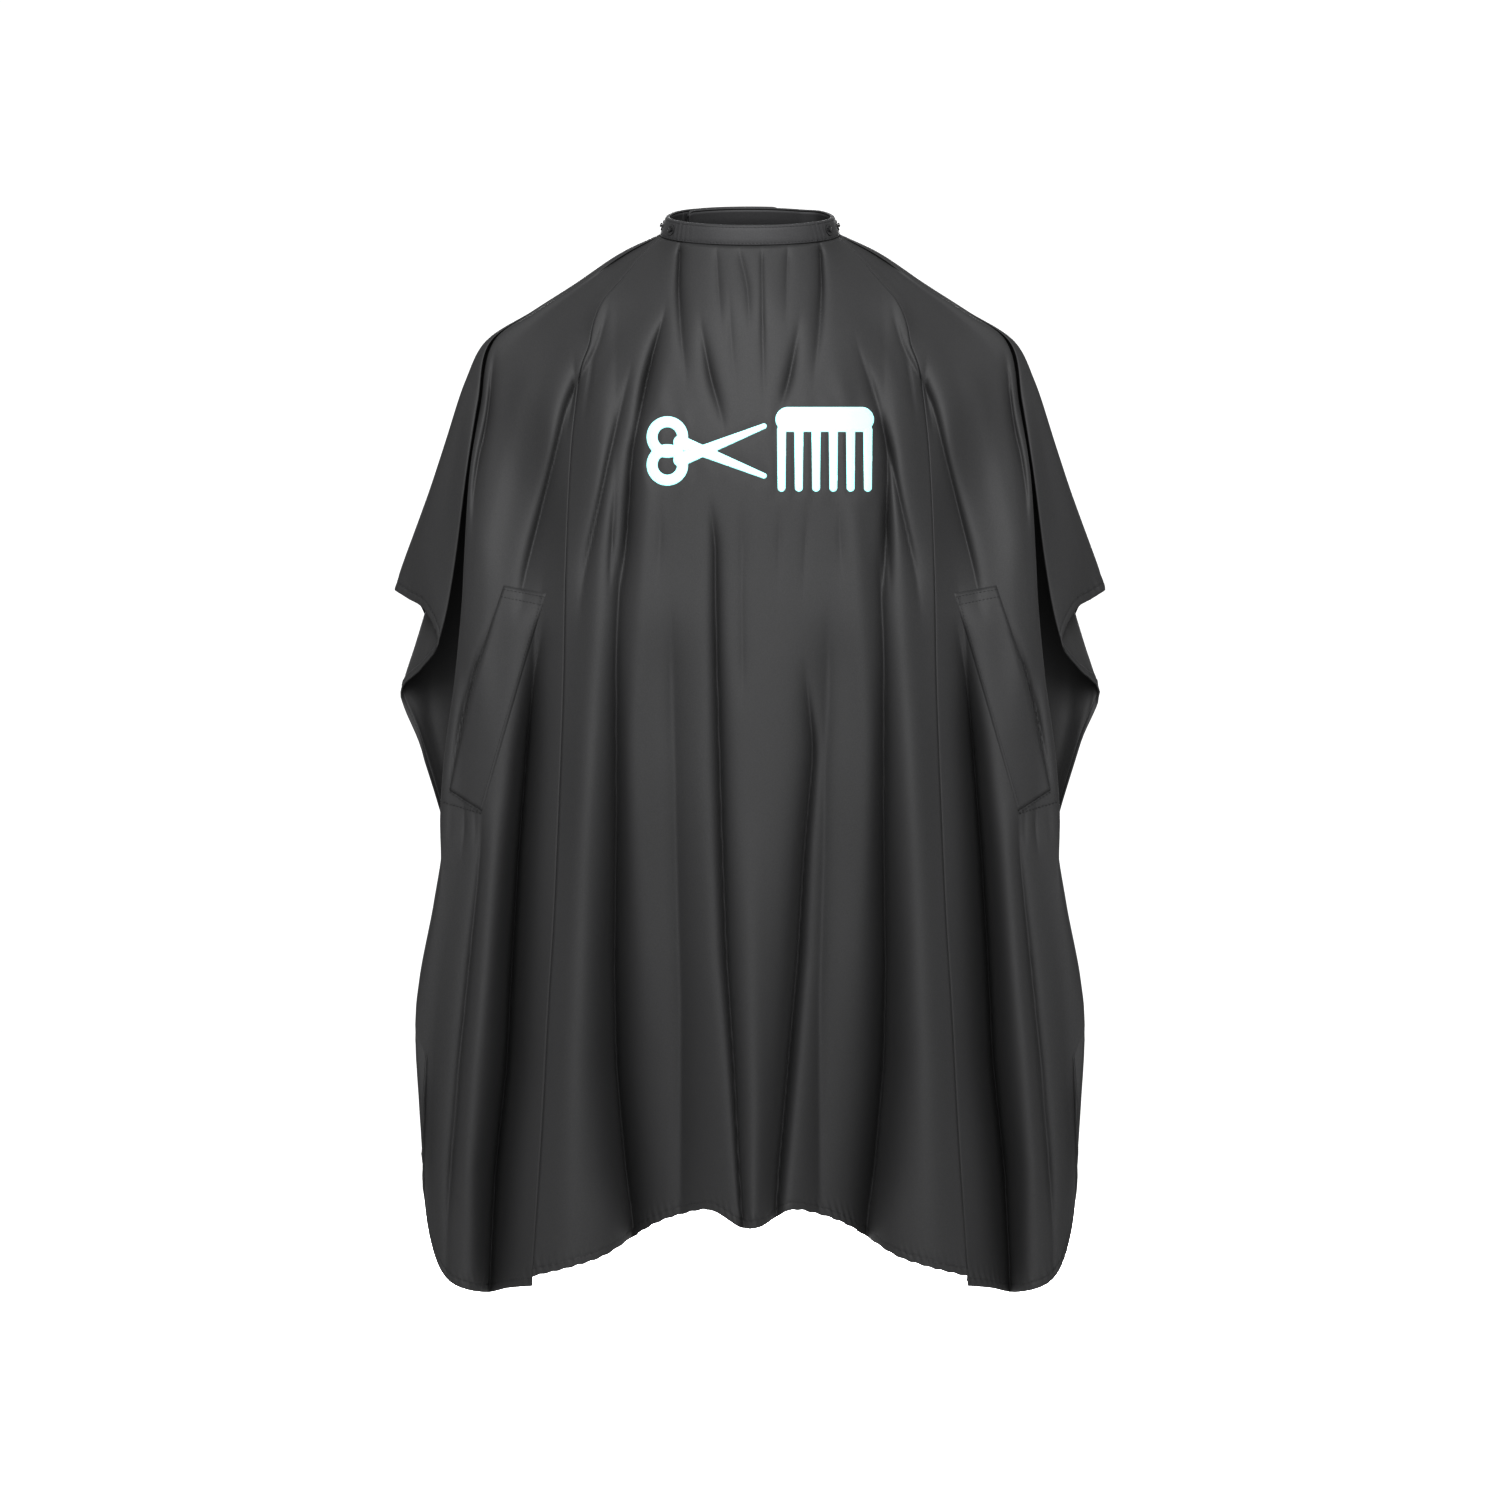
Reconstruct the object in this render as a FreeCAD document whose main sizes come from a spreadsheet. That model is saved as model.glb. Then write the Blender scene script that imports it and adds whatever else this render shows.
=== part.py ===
"""A barber's cape: panels of light cloth hung from a snapped neckband, with a hand slit at each side.

Millimetres. The origin is the middle of the neck opening, +Z is up, -Y is the front, and left is -X.
Angles round the neckband are in degrees from the middle of the front, positive towards +X.
"""

import FreeCAD, Part
import Sketcher
import math
import os

from FreeCAD import Placement, Rotation, Vector

DIMENSIONS = {
    "neck_half_width": 85.5,
    "neck_half_depth": 62.5,
    "ring_centre_drop": 3.0,
    "band_tilt_degrees": 14.5,
    "band_lean_degrees": 17.0,
    "band_height": 18.0,
    "band_layer": 1.0,
    "interlining_thickness": 0.7,
    "interlining_inset": 1.0,
    "layer_gap": 0.05,
    "ring_space": 1.15,
    "underlap_inset": 6.5,
    "sewing_gap": 1.0,
    "cloth_half_thickness": 0.8,
    "flap_lift": 0.3,
    "flap_thickness": 1.0,
    "thread_thickness": 1.0,
    "snap_radius": 5.2,
    "stud_shank_radius": 1.4,
    "stud_shank_length": 2.6,
    "stud_flange": 0.8,
    "stud_dish_radius": 3.4,
    "stud_dish_depth": 0.35,
    "stud_neck_radius": 1.6,
    "stud_neck_height": 0.45,
    "knob_radius": 2.0,
    "knob_height": 1.2,
    "knob_chamfer": 0.25,
    "rivet_clearance": 0.05,
    "back_ring_radius": 4.6,
    "back_ring_thickness": 0.6,
    "socket_radius": 4.4,
    "socket_height": 2.45,
    "socket_cavity_radius": 3.25,
    "socket_cavity_depth": 2.05,
    "socket_flange": 0.5,
    "spring_ring_radius": 2.9,
    "spring_wire_radius": 0.3,
    "cap_shank_radius": 1.0,
    "cap_shank_length": 3.35,
    "cap_height": 1.0,
    "cap_top_radius": 3.6,
}

STUD_ANGLES_LEFT = (-64, -92)
STUD_ANGLES_RIGHT = (64, 92)
STUD_ANGLES_BACK = (151, 176, 204)
SNAPPED_ANGLES = (176, 204)
BAND_SPLIT_ANGLE = -128
TAB_HINGE_ANGLE = 214
TAB_END_ANGLE = 160
UNDERLAP_END_ANGLE = 229
UNDERLAP_STEP_ANGLES = (125, 143)
ANGLE_GAP = 0.5

doc = FreeCAD.newDocument("barber_cape")


def make_sheet():
    """The spreadsheet of driving dimensions, one alias a row."""
    table = doc.addObject("Spreadsheet::Sheet", "dims")
    for row, (alias, value) in enumerate(DIMENSIONS.items(), start=1):
        table.set(f"A{row}", alias)
        table.set(f"B{row}", str(value))
        table.setAlias(f"B{row}", alias)
    doc.recompute()
    return table


sheet = make_sheet()


def size(expression):
    """A number worked out from the spreadsheet."""
    return float(sheet.evalExpression(expression))


# ---- the neckband's own geometry ----


def smooth_step(value, low, high):
    """0 below low, 1 above high, with a smooth rise between."""
    share = min(1.0, max(0.0, (value - low) / (high - low)))
    return share * share * (3 - 2 * share)


def band_inset(angle, height):
    """How far the band stands in from the ellipse: it leans in towards its top at the front and sides."""
    above_bottom = height + size("band_height") / 2
    lean = math.tan(math.radians(size("band_lean_degrees"))) * above_bottom
    return lean * (1 - smooth_step(abs(angle), 100, 140))


def underlap_inset(angle):
    """The right-hand end runs inside the left-hand one."""
    return size("underlap_inset") * smooth_step(angle, *UNDERLAP_STEP_ANGLES)


def ring_normal(angle):
    """The outward normal of the ellipse, in the ring's own plane."""
    turn = math.radians(angle)
    normal = Vector(math.sin(turn) / size("neck_half_width"), -math.cos(turn) / size("neck_half_depth"), 0)
    return normal.normalize()


def ring_tilt():
    return Rotation(Vector(1, 0, 0), size("band_tilt_degrees"))


def to_world(point):
    """From the ring's own frame to the cape's."""
    return ring_tilt().multVec(point) - Vector(0, 0, size("ring_centre_drop"))


def ring_point(angle, height, depth=0.0, underlap=True):
    """A point of the band: height from its middle, depth in from its outer face."""
    turn = math.radians(angle)
    across, forward = size("neck_half_width") * math.sin(turn), size("neck_half_depth") * math.cos(turn)
    on_ellipse = Vector(across, -forward, 0)
    inset = depth + band_inset(angle if angle <= 180 else angle - 360, height)
    if underlap:
        inset += underlap_inset(angle)
    return to_world(on_ellipse - ring_normal(angle) * inset + Vector(0, 0, height))


def below_band(angle, underlap=True):
    """Where a panel's top edge hangs from the band."""
    middle_of_band = (size("band_layer") * 2 + size("interlining_thickness")) / 2
    height = -size("band_height") / 2 - size("sewing_gap")
    return ring_point(angle, height, middle_of_band, underlap)


def band_axis(angle, underlap=True):
    """The band's outward direction at its middle height, square to its outer face."""
    along = ring_point(angle + 1, 0, 0, underlap) - ring_point(angle - 1, 0, 0, underlap)
    upward = ring_point(angle, 1, 0, underlap) - ring_point(angle, -1, 0, underlap)
    return along.cross(upward).normalize()


def on_band(angle, depth, underlap=True):
    """A placement with its Z axis pointing out of the band and its origin at a depth in the band."""
    axis = band_axis(angle, underlap)
    origin = ring_point(angle, 0.0, 0.0, underlap) - axis * depth
    return Placement(origin, Rotation(Vector(0, 0, 1), axis))


# ---- shapes of cloth ----


def closed_solid(faces):
    """A solid from faces that share their edges."""
    shell = Part.makeShell(faces)
    shell.sewShape()
    solid = Part.makeSolid(shell)
    if solid.Volume < 0:
        solid.reverse()
    return solid


def straight_patch(first, second, third, fourth):
    """The face between two straight edges, first to second and fourth to third."""
    return Part.makeRuledSurface(Part.makeLine(first, second), Part.makeLine(fourth, third))


def net_normal(net, row, column):
    """The normal at a point of a net, from its neighbours."""
    last_row, last_column = len(net) - 1, len(net[0]) - 1
    along = net[min(row + 1, last_row)][column] - net[max(row - 1, 0)][column]
    across = net[row][min(column + 1, last_column)] - net[row][max(column - 1, 0)]
    return along.cross(across).normalize()


def offset_net(net, distance):
    rows = range(len(net))
    columns = range(len(net[0]))
    return [[net[i][j] + net_normal(net, i, j) * distance for j in columns] for i in rows]


def cloth_solid(net, inner, outer, left_out=()):
    """A thin solid that follows a net of points, from the offset inner to the offset outer.

    left_out names cells, as (row, column), where there is no cloth.
    """
    low, high = offset_net(net, inner), offset_net(net, outer)
    rows, columns = len(net) - 1, len(net[0]) - 1
    cells = {(i, j) for i in range(rows) for j in range(columns)} - set(left_out)
    faces = []
    for i, j in sorted(cells):
        corners = [(i, j), (i + 1, j), (i + 1, j + 1), (i, j + 1)]
        for side in (low, high):
            faces.append(straight_patch(*[side[a][b] for a, b in corners]))
        beyond = [(i, j - 1), (i + 1, j), (i, j + 1), (i - 1, j)]
        for step, neighbour in enumerate(beyond):
            if neighbour not in cells:
                (i1, j1), (i2, j2) = corners[step], corners[(step + 1) % 4]
                faces.append(straight_patch(low[i1][j1], low[i2][j2], high[i2][j2], high[i1][j1]))
    return closed_solid(faces)


def to_vectors(rows):
    return [[point if isinstance(point, Vector) else Vector(*point) for point in row] for row in rows]


def mirrored(net):
    """The same net on the other side of the cape, turned so that its outer face stays outside."""
    return [[Vector(-p.x, p.y, p.z) for p in reversed(row)] for row in net]


def add_cloth(label, shape):
    feature = doc.addObject("Part::Feature", label)
    feature.Shape = shape
    feature.Placement = Placement()
    return feature


# ---- the nets: each row runs across the cape, and the rows follow the cloth from top to hem ----


def front_net():
    """From the left-hand seam to the right-hand one: the neckband first, the front hem last."""
    seam_to_middle = [
        [below_band(angle) for angle in (-88, -76, -62, -47, -31, -16, 0)],
        [
            (-121, -26, -58.5), (-102, -44, -66), (-84, -57, -72), (-64, -69, -77),
            (-43.5, -78, -79.5), (-21.5, -84, -81), (0, -86, -82.5),
        ],
        [
            (-149, -50, -122), (-127.5, -64, -123), (-103.5, -77, -124), (-78.5, -87, -124.5),
            (-53, -94, -125), (-26.5, -98, -125.5), (0, -99, -125.5),
        ],
        [
            (-166.5, -84, -234.5), (-139.5, -96, -225.5), (-111.5, -106, -218), (-84, -113, -212.5),
            (-56.5, -118, -209), (-28.5, -121, -207.5), (0, -122, -207.5),
        ],
        [
            (-171, -104, -343.5), (-142.5, -115, -343.5), (-114, -123, -344), (-85.5, -129, -344),
            (-57.5, -132, -344.5), (-29, -134, -344.5), (0, -135, -344.5),
        ],
        [
            (-172.5, -118, -441.5), (-144, -128, -441.5), (-116, -135, -441.5), (-86.5, -140, -441.5),
            (-58.5, -142, -441.5), (-29, -144, -442), (0, -145, -442),
        ],
        [
            (-176.5, -132, -544), (-147.5, -141, -544), (-118.5, -147, -543.5), (-88.5, -151, -543.5),
            (-59, -153, -543.5), (-29, -154, -543.5), (0, -155, -543.5),
        ],
        [
            (-179.5, -141, -636), (-149.5, -149, -636), (-120, -155, -635.5), (-90, -159, -635.5),
            (-60, -161, -635.5), (-30, -163, -635.5), (0, -164, -635.5),
        ],
        [
            (-184, -151, -733), (-153, -159, -732.5), (-123, -165, -732), (-92, -169, -732),
            (-61, -171, -732), (-31, -173, -731.5), (0, -174, -731.5),
        ],
        [
            (-190, -163, -858), (-158.5, -169, -857.5), (-126.5, -174, -857), (-94.5, -178, -857),
            (-62.5, -181, -856.5), (-32, -183, -856.5), (0, -184, -856.5),
        ],
        [
            (-198.5, -176, -982.5), (-166, -178, -974.5), (-133, -181, -960.5), (-99, -185, -939),
            (-65.5, -188, -925.5), (-32.5, -190, -924.5), (0, -193, -937.5),
        ],
    ]
    half = to_vectors(seam_to_middle)
    return [row + mirrored([row[:-1]])[0] for row in half]


def side_net():
    """The left-hand side strip: front hem, up over the shoulder, down to the back hem.

    Columns: the seam (behind the shoulder, the fold line of the back half), the inner edge of the
    hand flap, the two sides of the slit, the fold at the arm, and the side hem.
    """
    return to_vectors(
        [
            [
                (-199, -176, -982.5), (-218.5, -170, -993.5), (-242, -162, -998.5),
                (-244.5, -161, -998.5), (-275.5, -148, -989), (-296, -134, -959.5),
            ],
            [
                (-191, -163, -858), (-215, -154, -862.5), (-248.5, -144, -867),
                (-251, -143, -867), (-278.5, -130, -874), (-303, -114, -881),
            ],
            [
                (-184.5, -151, -733), (-219.5, -139, -738), (-257.5, -126, -743.5),
                (-260, -125, -744), (-287.5, -111, -750.5), (-314, -93, -757),
            ],
            [
                (-180.5, -141, -636), (-234, -122, -646.5), (-268, -108, -637),
                (-270.5, -107, -637), (-283.5, -98, -643), (-295, -80, -651.5),
            ],
            [
                (-177.5, -132, -544), (-249.5, -104, -559), (-277, -91, -540.5),
                (-279.5, -90, -540.5), (-285, -84, -545), (-290, -66, -559),
            ],
            [
                (-173.5, -118, -441.5), (-219, -101, -456.5), (-253.5, -86, -444),
                (-256, -85, -444), (-280, -70, -450.5), (-315, -44, -470.5),
            ],
            [
                (-172, -104, -343.5), (-188, -98, -354), (-230.5, -80, -348.5),
                (-233, -79, -348.5), (-274, -58, -366.5), (-324, -30, -430.5),
            ],
            [
                (-167.5, -84, -234.5), (-185, -76, -244), (-223.5, -58, -253),
                (-226, -57, -254), (-266, -36, -291.5), (-297, -20, -400.5),
            ],
            [
                (-150, -50, -122), (-174.5, -40, -133), (-213, -26, -152),
                (-215.5, -25, -153), (-256.5, -13, -206), (-317.5, -8, -362),
            ],
            [
                (-122, -26, -58.5), (-159.5, -18, -77.5), (-203.5, -10, -107),
                (-206, -10, -108), (-252, -2, -140), (-330, -1, -352),
            ],
            [
                below_band(-90), (-150, 5, -49.5), (-200.5, 7, -81.5),
                (-203, 7, -83.5), (-248.5, 7, -113.5), (-337.5, 5, -349),
            ],
            [
                below_band(-109), (-143, 34, -49), (-201, 26, -90),
                (-203.5, 26, -91), (-254, 16, -145), (-332, 12, -357.5),
            ],
            [
                below_band(-127), (-149.5, 56, -85.5), (-208, 44, -118.5),
                (-210.5, 43, -119.5), (-259.5, 30, -203), (-323.5, 21, -377.5),
            ],
            [
                (-87.5, 72, -106.5), (-168.5, 72, -171.5), (-220.5, 58, -192.5),
                (-223, 57, -193.5), (-266, 42, -278), (-308, 33, -414.5),
            ],
            [
                (-106.5, 97, -245), (-183, 90, -280), (-231.5, 77, -295),
                (-234, 76, -296), (-273, 60, -348), (-323, 47, -449.5),
            ],
            [
                (-121, 108, -398), (-196, 101, -414.5), (-242.5, 90, -426.5),
                (-245, 89, -427.5), (-278, 76, -449), (-312, 63, -495),
            ],
            [
                (-137.5, 118, -561.5), (-208.5, 110, -569.5), (-249, 102, -571.5),
                (-251.5, 101, -571.5), (-281, 90, -557), (-302.5, 79, -530.5),
            ],
        ]
    )


SLIT_ROWS = (4, 5)
SLIT_COLUMN = 2
FLAP_COLUMNS = (1, 2)
FACING_COLUMNS = (3, 4)
FACING_SHARE = 0.6


def back_left_net():
    """The left-hand back half, from its fold line to its free edge, past the middle of the back."""
    return to_vectors(
        [
            [below_band(a, underlap=False) for a in (-132.5, -148, -164, -180, -198)],
            [(-83, 73.5, -106.5), (-57, 80, -99.5), (-28.5, 85, -95), (0, 87, -93), (28.5, 85, -95)],
            [
                (-102, 98.5, -245), (-71.5, 103, -245), (-37, 107, -244.5),
                (0, 109, -244.5), (30.5, 108, -244.5),
            ],
            [
                (-116.5, 109.5, -398), (-82, 113, -397.5), (-43, 116, -397.5),
                (0, 118, -397.5), (32.5, 117, -397.5),
            ],
            [
                (-133, 119.5, -561.5), (-94, 122, -561.5), (-49, 125, -561.5),
                (0, 127, -561.5), (35, 126, -561.5),
            ],
        ]
    )


def back_right_net():
    """The right-hand back half: the same cut, tucked in under the left-hand one."""
    tuck = (5.5, 5.5, 5.5, 2.5, 0)
    net = mirrored(back_left_net())
    lower = [[p - Vector(0, d, 0) for p, d in zip(row, tuck)] for row in net[1:]]
    top = [below_band(a) for a in (198, 180, 164, 148, 132)]
    return [top] + lower


# ---- the panels ----


def add_panels():
    half = size("cloth_half_thickness")
    front = front_net()
    side = side_net()
    last_column = len(side[0]) - 2
    slit = [(row, SLIT_COLUMN) for row in SLIT_ROWS]
    slit_mirrored = [(row, last_column - SLIT_COLUMN) for row in SLIT_ROWS]
    add_cloth("front_panel", cloth_solid(front, -half, half))
    add_cloth("side_panel_left", cloth_solid(side, -half, half, slit))
    add_cloth("side_panel_right", cloth_solid(mirrored(side), -half, half, slit_mirrored))
    add_cloth("back_panel_left", cloth_solid(back_left_net(), -half, half))
    add_cloth("back_panel_right", cloth_solid(back_right_net(), -half, half))


def sub_net(net, rows, columns):
    return [row[columns[0] : columns[-1] + 1] for row in net[rows[0] : rows[-1] + 1]]


def add_hand_openings():
    """The flap over each hand slit, and the facing strip behind the slit's outer edge."""
    half, lift = size("cloth_half_thickness"), size("flap_lift")
    slit_rows = (SLIT_ROWS[0], SLIT_ROWS[-1] + 1)
    for suffix, turn in (("left", lambda net: net), ("right", mirrored)):
        flap = turn(sub_net(side_net(), slit_rows, FLAP_COLUMNS))
        bottom = half + lift
        add_cloth(f"hand_flap_{suffix}", cloth_solid(flap, bottom, bottom + size("flap_thickness")))
        behind = sub_net(side_net(), slit_rows, FACING_COLUMNS)
        strip = [[a, a + (b - a) * FACING_SHARE] for a, b in behind]
        far, near = -half - lift - size("flap_thickness"), -half - lift
        add_cloth(f"slit_facing_{suffix}", cloth_solid(turn(strip), far, near))


# ---- the neckband ----


def smooth_edge(points):
    curve = Part.BSplineCurve()
    curve.interpolate(points)
    return curve.toShape()


def band_strip(start, end, depths, inset=0.0, underlap=True):
    """One layer of the band between two angles, with smooth faces along its length."""
    steps = max(4, round(abs(end - start) / 4))
    angles = [start + (end - start) * i / steps for i in range(steps + 1)]
    half = size("band_height") / 2 - inset
    corners = [(-half, depths[0]), (half, depths[0]), (half, depths[1]), (-half, depths[1])]
    lines = [[ring_point(a, height, depth, underlap) for a in angles] for height, depth in corners]
    edges = [smooth_edge(line) for line in lines]
    faces = [Part.makeRuledSurface(edges[i], edges[(i + 1) % 4]) for i in range(4)]
    for end_index in (0, -1):
        faces.append(straight_patch(*[line[end_index] for line in lines]))
    return closed_solid(faces)


def drilled(strip, angles, radius, underlap=True):
    """A strip with a hole for the shank of each snap."""
    length = 12.0
    for angle in angles:
        place = on_band(angle, length / 2, underlap)
        outward = place.Rotation.multVec(Vector(0, 0, 1))
        strip = strip.cut(Part.makeCylinder(radius, length, place.Base, outward))
    return strip.Solids[0]


def band_depths(facing_gap):
    """Start and end depth of the band's outer layer, interlining and facing."""
    layer = size("band_layer")
    core = size("band_layer + layer_gap + interlining_thickness")
    facing = core + facing_gap
    return (0, layer), (size("band_layer + layer_gap"), core), (facing, facing + layer)


def add_band(prefix, span, facing_gap, underlap, pierced=(), holes=(), radius=0.0):
    """The three layers of one length of band, with holes at some angles through the pierced ones."""
    names = ("outer", "interlining", "facing")
    insets = (0.0, size("interlining_inset"), 0.0)
    for name, depths, inset in zip(names, band_depths(facing_gap), insets):
        strip = band_strip(*span, depths, inset, underlap)
        if name in pierced:
            strip = drilled(strip, holes, radius, underlap)
        add_cloth(f"{prefix}_{name}", strip)


def add_neckband():
    """The facing hides the rings of the studs, so it is pierced only where the tab's sockets are."""
    stud_hole = size("stud_shank_radius + rivet_clearance")
    cap_hole = size("cap_shank_radius + rivet_clearance")
    studs = STUD_ANGLES_LEFT + STUD_ANGLES_RIGHT + STUD_ANGLES_BACK
    ring_space, gap = size("ring_space"), size("layer_gap")
    left_start = BAND_SPLIT_ANGLE - ANGLE_GAP
    right_span = (BAND_SPLIT_ANGLE + ANGLE_GAP, UNDERLAP_END_ANGLE)
    left_span = (TAB_HINGE_ANGLE + ANGLE_GAP, left_start + 360)
    tab_span = (TAB_END_ANGLE, TAB_HINGE_ANGLE - ANGLE_GAP)
    every_layer = ("outer", "interlining", "facing")
    add_band("neckband", right_span, ring_space, True, ("outer", "interlining"), studs, stud_hole)
    add_band("neckband_left", left_span, ring_space, False)
    add_band("closure_tab", tab_span, gap, False, every_layer, SNAPPED_ANGLES, cap_hole)


# ---- the snaps ----


def origin_plane(body, role):
    return next(o for o in body.Origin.OriginFeatures if o.Role == role)


def pin_vertex(sketch, line, across, up):
    """Holds the start of a line at two sizes worked out from the spreadsheet."""
    for kind, expression in (("DistanceX", across), ("DistanceY", up)):
        value = size(expression)
        if value == 0:
            axis = -2 if kind == "DistanceX" else -1
            sketch.addConstraint(Sketcher.Constraint("PointOnObject", line, 1, axis))
        else:
            index = sketch.addConstraint(Sketcher.Constraint(kind, -1, 1, line, 1, value))
            sketch.setExpression(f"Constraints[{index}]", bound(expression))


def bound(expression):
    """The same expression with each alias looked up in the spreadsheet."""
    words = [f"dims.{word}" if word in DIMENSIONS else word for word in expression.split()]
    return " ".join(words)


def turned_body(label, profile, place):
    """A PartDesign body turned about its Z axis from (radius, height) expressions."""
    body = doc.addObject("PartDesign::Body", label)
    sketch = body.newObject("Sketcher::SketchObject", f"{label}_profile")
    sketch.AttachmentSupport = [(origin_plane(body, "XZ_Plane"), "")]
    sketch.MapMode = "FlatFace"
    points = [Vector(size(radius), size(height), 0) for radius, height in profile]
    count = len(points)
    for i in range(count):
        sketch.addGeometry(Part.LineSegment(points[i], points[(i + 1) % count]), False)
    for i in range(count):
        sketch.addConstraint(Sketcher.Constraint("Coincident", i, 2, (i + 1) % count, 1))
    for i, (radius, height) in enumerate(profile):
        pin_vertex(sketch, i, radius, height)
    turn = body.newObject("PartDesign::Revolution", f"{label}_turn")
    turn.Profile = sketch
    turn.ReferenceAxis = (sketch, ["V_Axis"])
    turn.Angle = 360
    body.Placement = place
    return body


def stud_profile():
    flange = "stud_shank_length + stud_flange"
    dish = f"{flange} - stud_dish_depth"
    neck = f"{flange} + stud_neck_height"
    knob = f"{neck} + knob_height"
    top = f"{knob} + knob_chamfer"
    return [
        ("0", "0"),
        ("stud_shank_radius", "0"),
        ("stud_shank_radius", "stud_shank_length"),
        ("snap_radius", "stud_shank_length"),
        ("snap_radius", flange),
        ("stud_dish_radius", flange),
        ("stud_dish_radius", dish),
        ("stud_neck_radius", dish),
        ("stud_neck_radius", neck),
        ("knob_radius", neck),
        ("knob_radius", knob),
        ("stud_neck_radius", top),
        ("0", top),
    ]


def back_ring_profile():
    hole = "stud_shank_radius + rivet_clearance"
    return [
        (hole, "0"),
        ("back_ring_radius", "0"),
        ("back_ring_radius", "back_ring_thickness"),
        (hole, "back_ring_thickness"),
    ]


def socket_profile():
    hole = "cap_shank_radius + rivet_clearance"
    under_flange = "socket_height - socket_flange"
    return [
        ("socket_cavity_radius", "0"),
        ("socket_radius", "0"),
        ("socket_radius", under_flange),
        ("snap_radius", under_flange),
        ("snap_radius", "socket_height"),
        (hole, "socket_height"),
        (hole, "socket_cavity_depth"),
        ("socket_cavity_radius", "socket_cavity_depth"),
    ]


def cap_profile():
    top = "cap_shank_length + cap_height"
    return [
        ("0", "0"),
        ("cap_shank_radius", "0"),
        ("cap_shank_radius", "cap_shank_length"),
        ("snap_radius", "cap_shank_length"),
        ("cap_top_radius", top),
        ("0", top),
    ]


def group(label, members):
    """Identical fasteners, each its own solid, in one node."""
    compound = doc.addObject("Part::Compound", label)
    compound.Links = members
    return compound


def add_studs():
    """The studs, riveted through the band to a ring behind it."""
    rows = {"studs_left": STUD_ANGLES_LEFT, "studs_right": STUD_ANGLES_RIGHT, "studs_back": STUD_ANGLES_BACK}
    shank = size("stud_shank_length")
    for label, angles in rows.items():
        studs, rings = [], []
        for number, angle in enumerate(angles, start=1):
            place = on_band(angle, shank)
            studs.append(turned_body(f"{label}_stud_{number}", stud_profile(), place))
            rings.append(turned_body(f"{label}_ring_{number}", back_ring_profile(), place))
        group(label, studs)
        group(f"{label}_back_rings", rings)


def add_sockets():
    """The closure tab's sockets, their ring springs and their caps."""
    sockets, springs, caps = [], [], []
    rim_depth = size("underlap_inset") - size("stud_flange") - 2 * size("rivet_clearance")
    for number, angle in enumerate(SNAPPED_ANGLES, start=1):
        rim = on_band(angle, rim_depth, underlap=False)
        sockets.append(turned_body(f"socket_{number}", socket_profile(), rim))
        spring = doc.addObject("Part::Torus", f"socket_spring_{number}")
        spring.setExpression("Radius1", bound("spring_ring_radius"))
        spring.setExpression("Radius2", bound("spring_wire_radius"))
        lift = 2 * size("spring_wire_radius")
        spring.Placement = on_band(angle, rim_depth - lift, underlap=False)
        springs.append(spring)
        cap_place = on_band(angle, size("cap_shank_length"), underlap=False)
        caps.append(turned_body(f"cap_{number}", cap_profile(), cap_place))
    group("tab_sockets", sockets)
    group("tab_socket_springs", springs)
    group("tab_caps", caps)


# ---- the embroidery on the chest ----

SCISSORS_CENTRE = (-43.0, -224.0)
SCISSORS_BLADE = (58.0, 11.0)
SCISSORS_OPENING_DEGREES = 19.0
SCISSORS_HANDLE = 26.0
SCISSORS_LOOP_RADII = (18.0, 9.0)
COMB_SPINE = (23.5, -203.0, 92.0, 19.5)
COMB_TOOTH = (7.0, 50.0)
COMB_TEETH = 7
PRISM_Y = (-150.0, 90.0)
CHEST_ROWS = (2, 4)


def chest_layer():
    """A thin solid that lies on the outer face of the chest."""
    net = front_net()
    rows = net[CHEST_ROWS[0] : CHEST_ROWS[1] + 1]
    start = size("cloth_half_thickness + layer_gap")
    return cloth_solid(rows, start, start + size("thread_thickness"))


def prism(outline):
    """A flat outline in X and Z, extended along Y right through the chest."""
    y, depth = PRISM_Y
    points = [Vector(x, y, z) for x, z in outline]
    face = Part.Face(Part.makePolygon(points + [points[0]]))
    return face.extrude(Vector(0, depth, 0))


def box_prism(x, z, width, height):
    return prism([(x, z), (x + width, z), (x + width, z + height), (x, z + height)])


def round_prism(x, z, radius):
    y, depth = PRISM_Y
    return Part.makeCylinder(radius, depth, Vector(x, y, z), Vector(0, 1, 0))


def scissor_half(side):
    """One blade with its handle and finger loop, turned about the pivot."""
    x, z = SCISSORS_CENTRE
    length, width = SCISSORS_BLADE
    handle, half = SCISSORS_HANDLE, width / 2
    outer, inner = SCISSORS_LOOP_RADII
    start, shoulder, tip = x - handle, x + length * 0.75, x + length
    bar = prism([(start, z - half), (shoulder, z - half), (tip, z), (start, z + half)])
    loop_x = x - handle - outer + half
    piece = bar.fuse(round_prism(loop_x, z, outer)).cut(round_prism(loop_x, z, inner))
    piece.rotate(Vector(x, 0, z), Vector(0, 1, 0), side * SCISSORS_OPENING_DEGREES)
    return piece


def comb_prism():
    x, z, length, depth = COMB_SPINE
    tooth_width, tooth_length = COMB_TOOTH
    pitch = (length - tooth_width) / (COMB_TEETH - 1)
    shape = box_prism(x, z, length, depth)
    for number in range(COMB_TEETH):
        shape = shape.fuse(box_prism(x + number * pitch, z - tooth_length, tooth_width, tooth_length + 1))
    return shape


def add_embroidery():
    layer = chest_layer()
    scissors = scissor_half(1).fuse(scissor_half(-1)).removeSplitter()
    add_cloth("embroidery_scissors", layer.common(scissors))
    add_cloth("embroidery_comb", layer.common(comb_prism().removeSplitter()))


# ---- check and write ----


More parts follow.
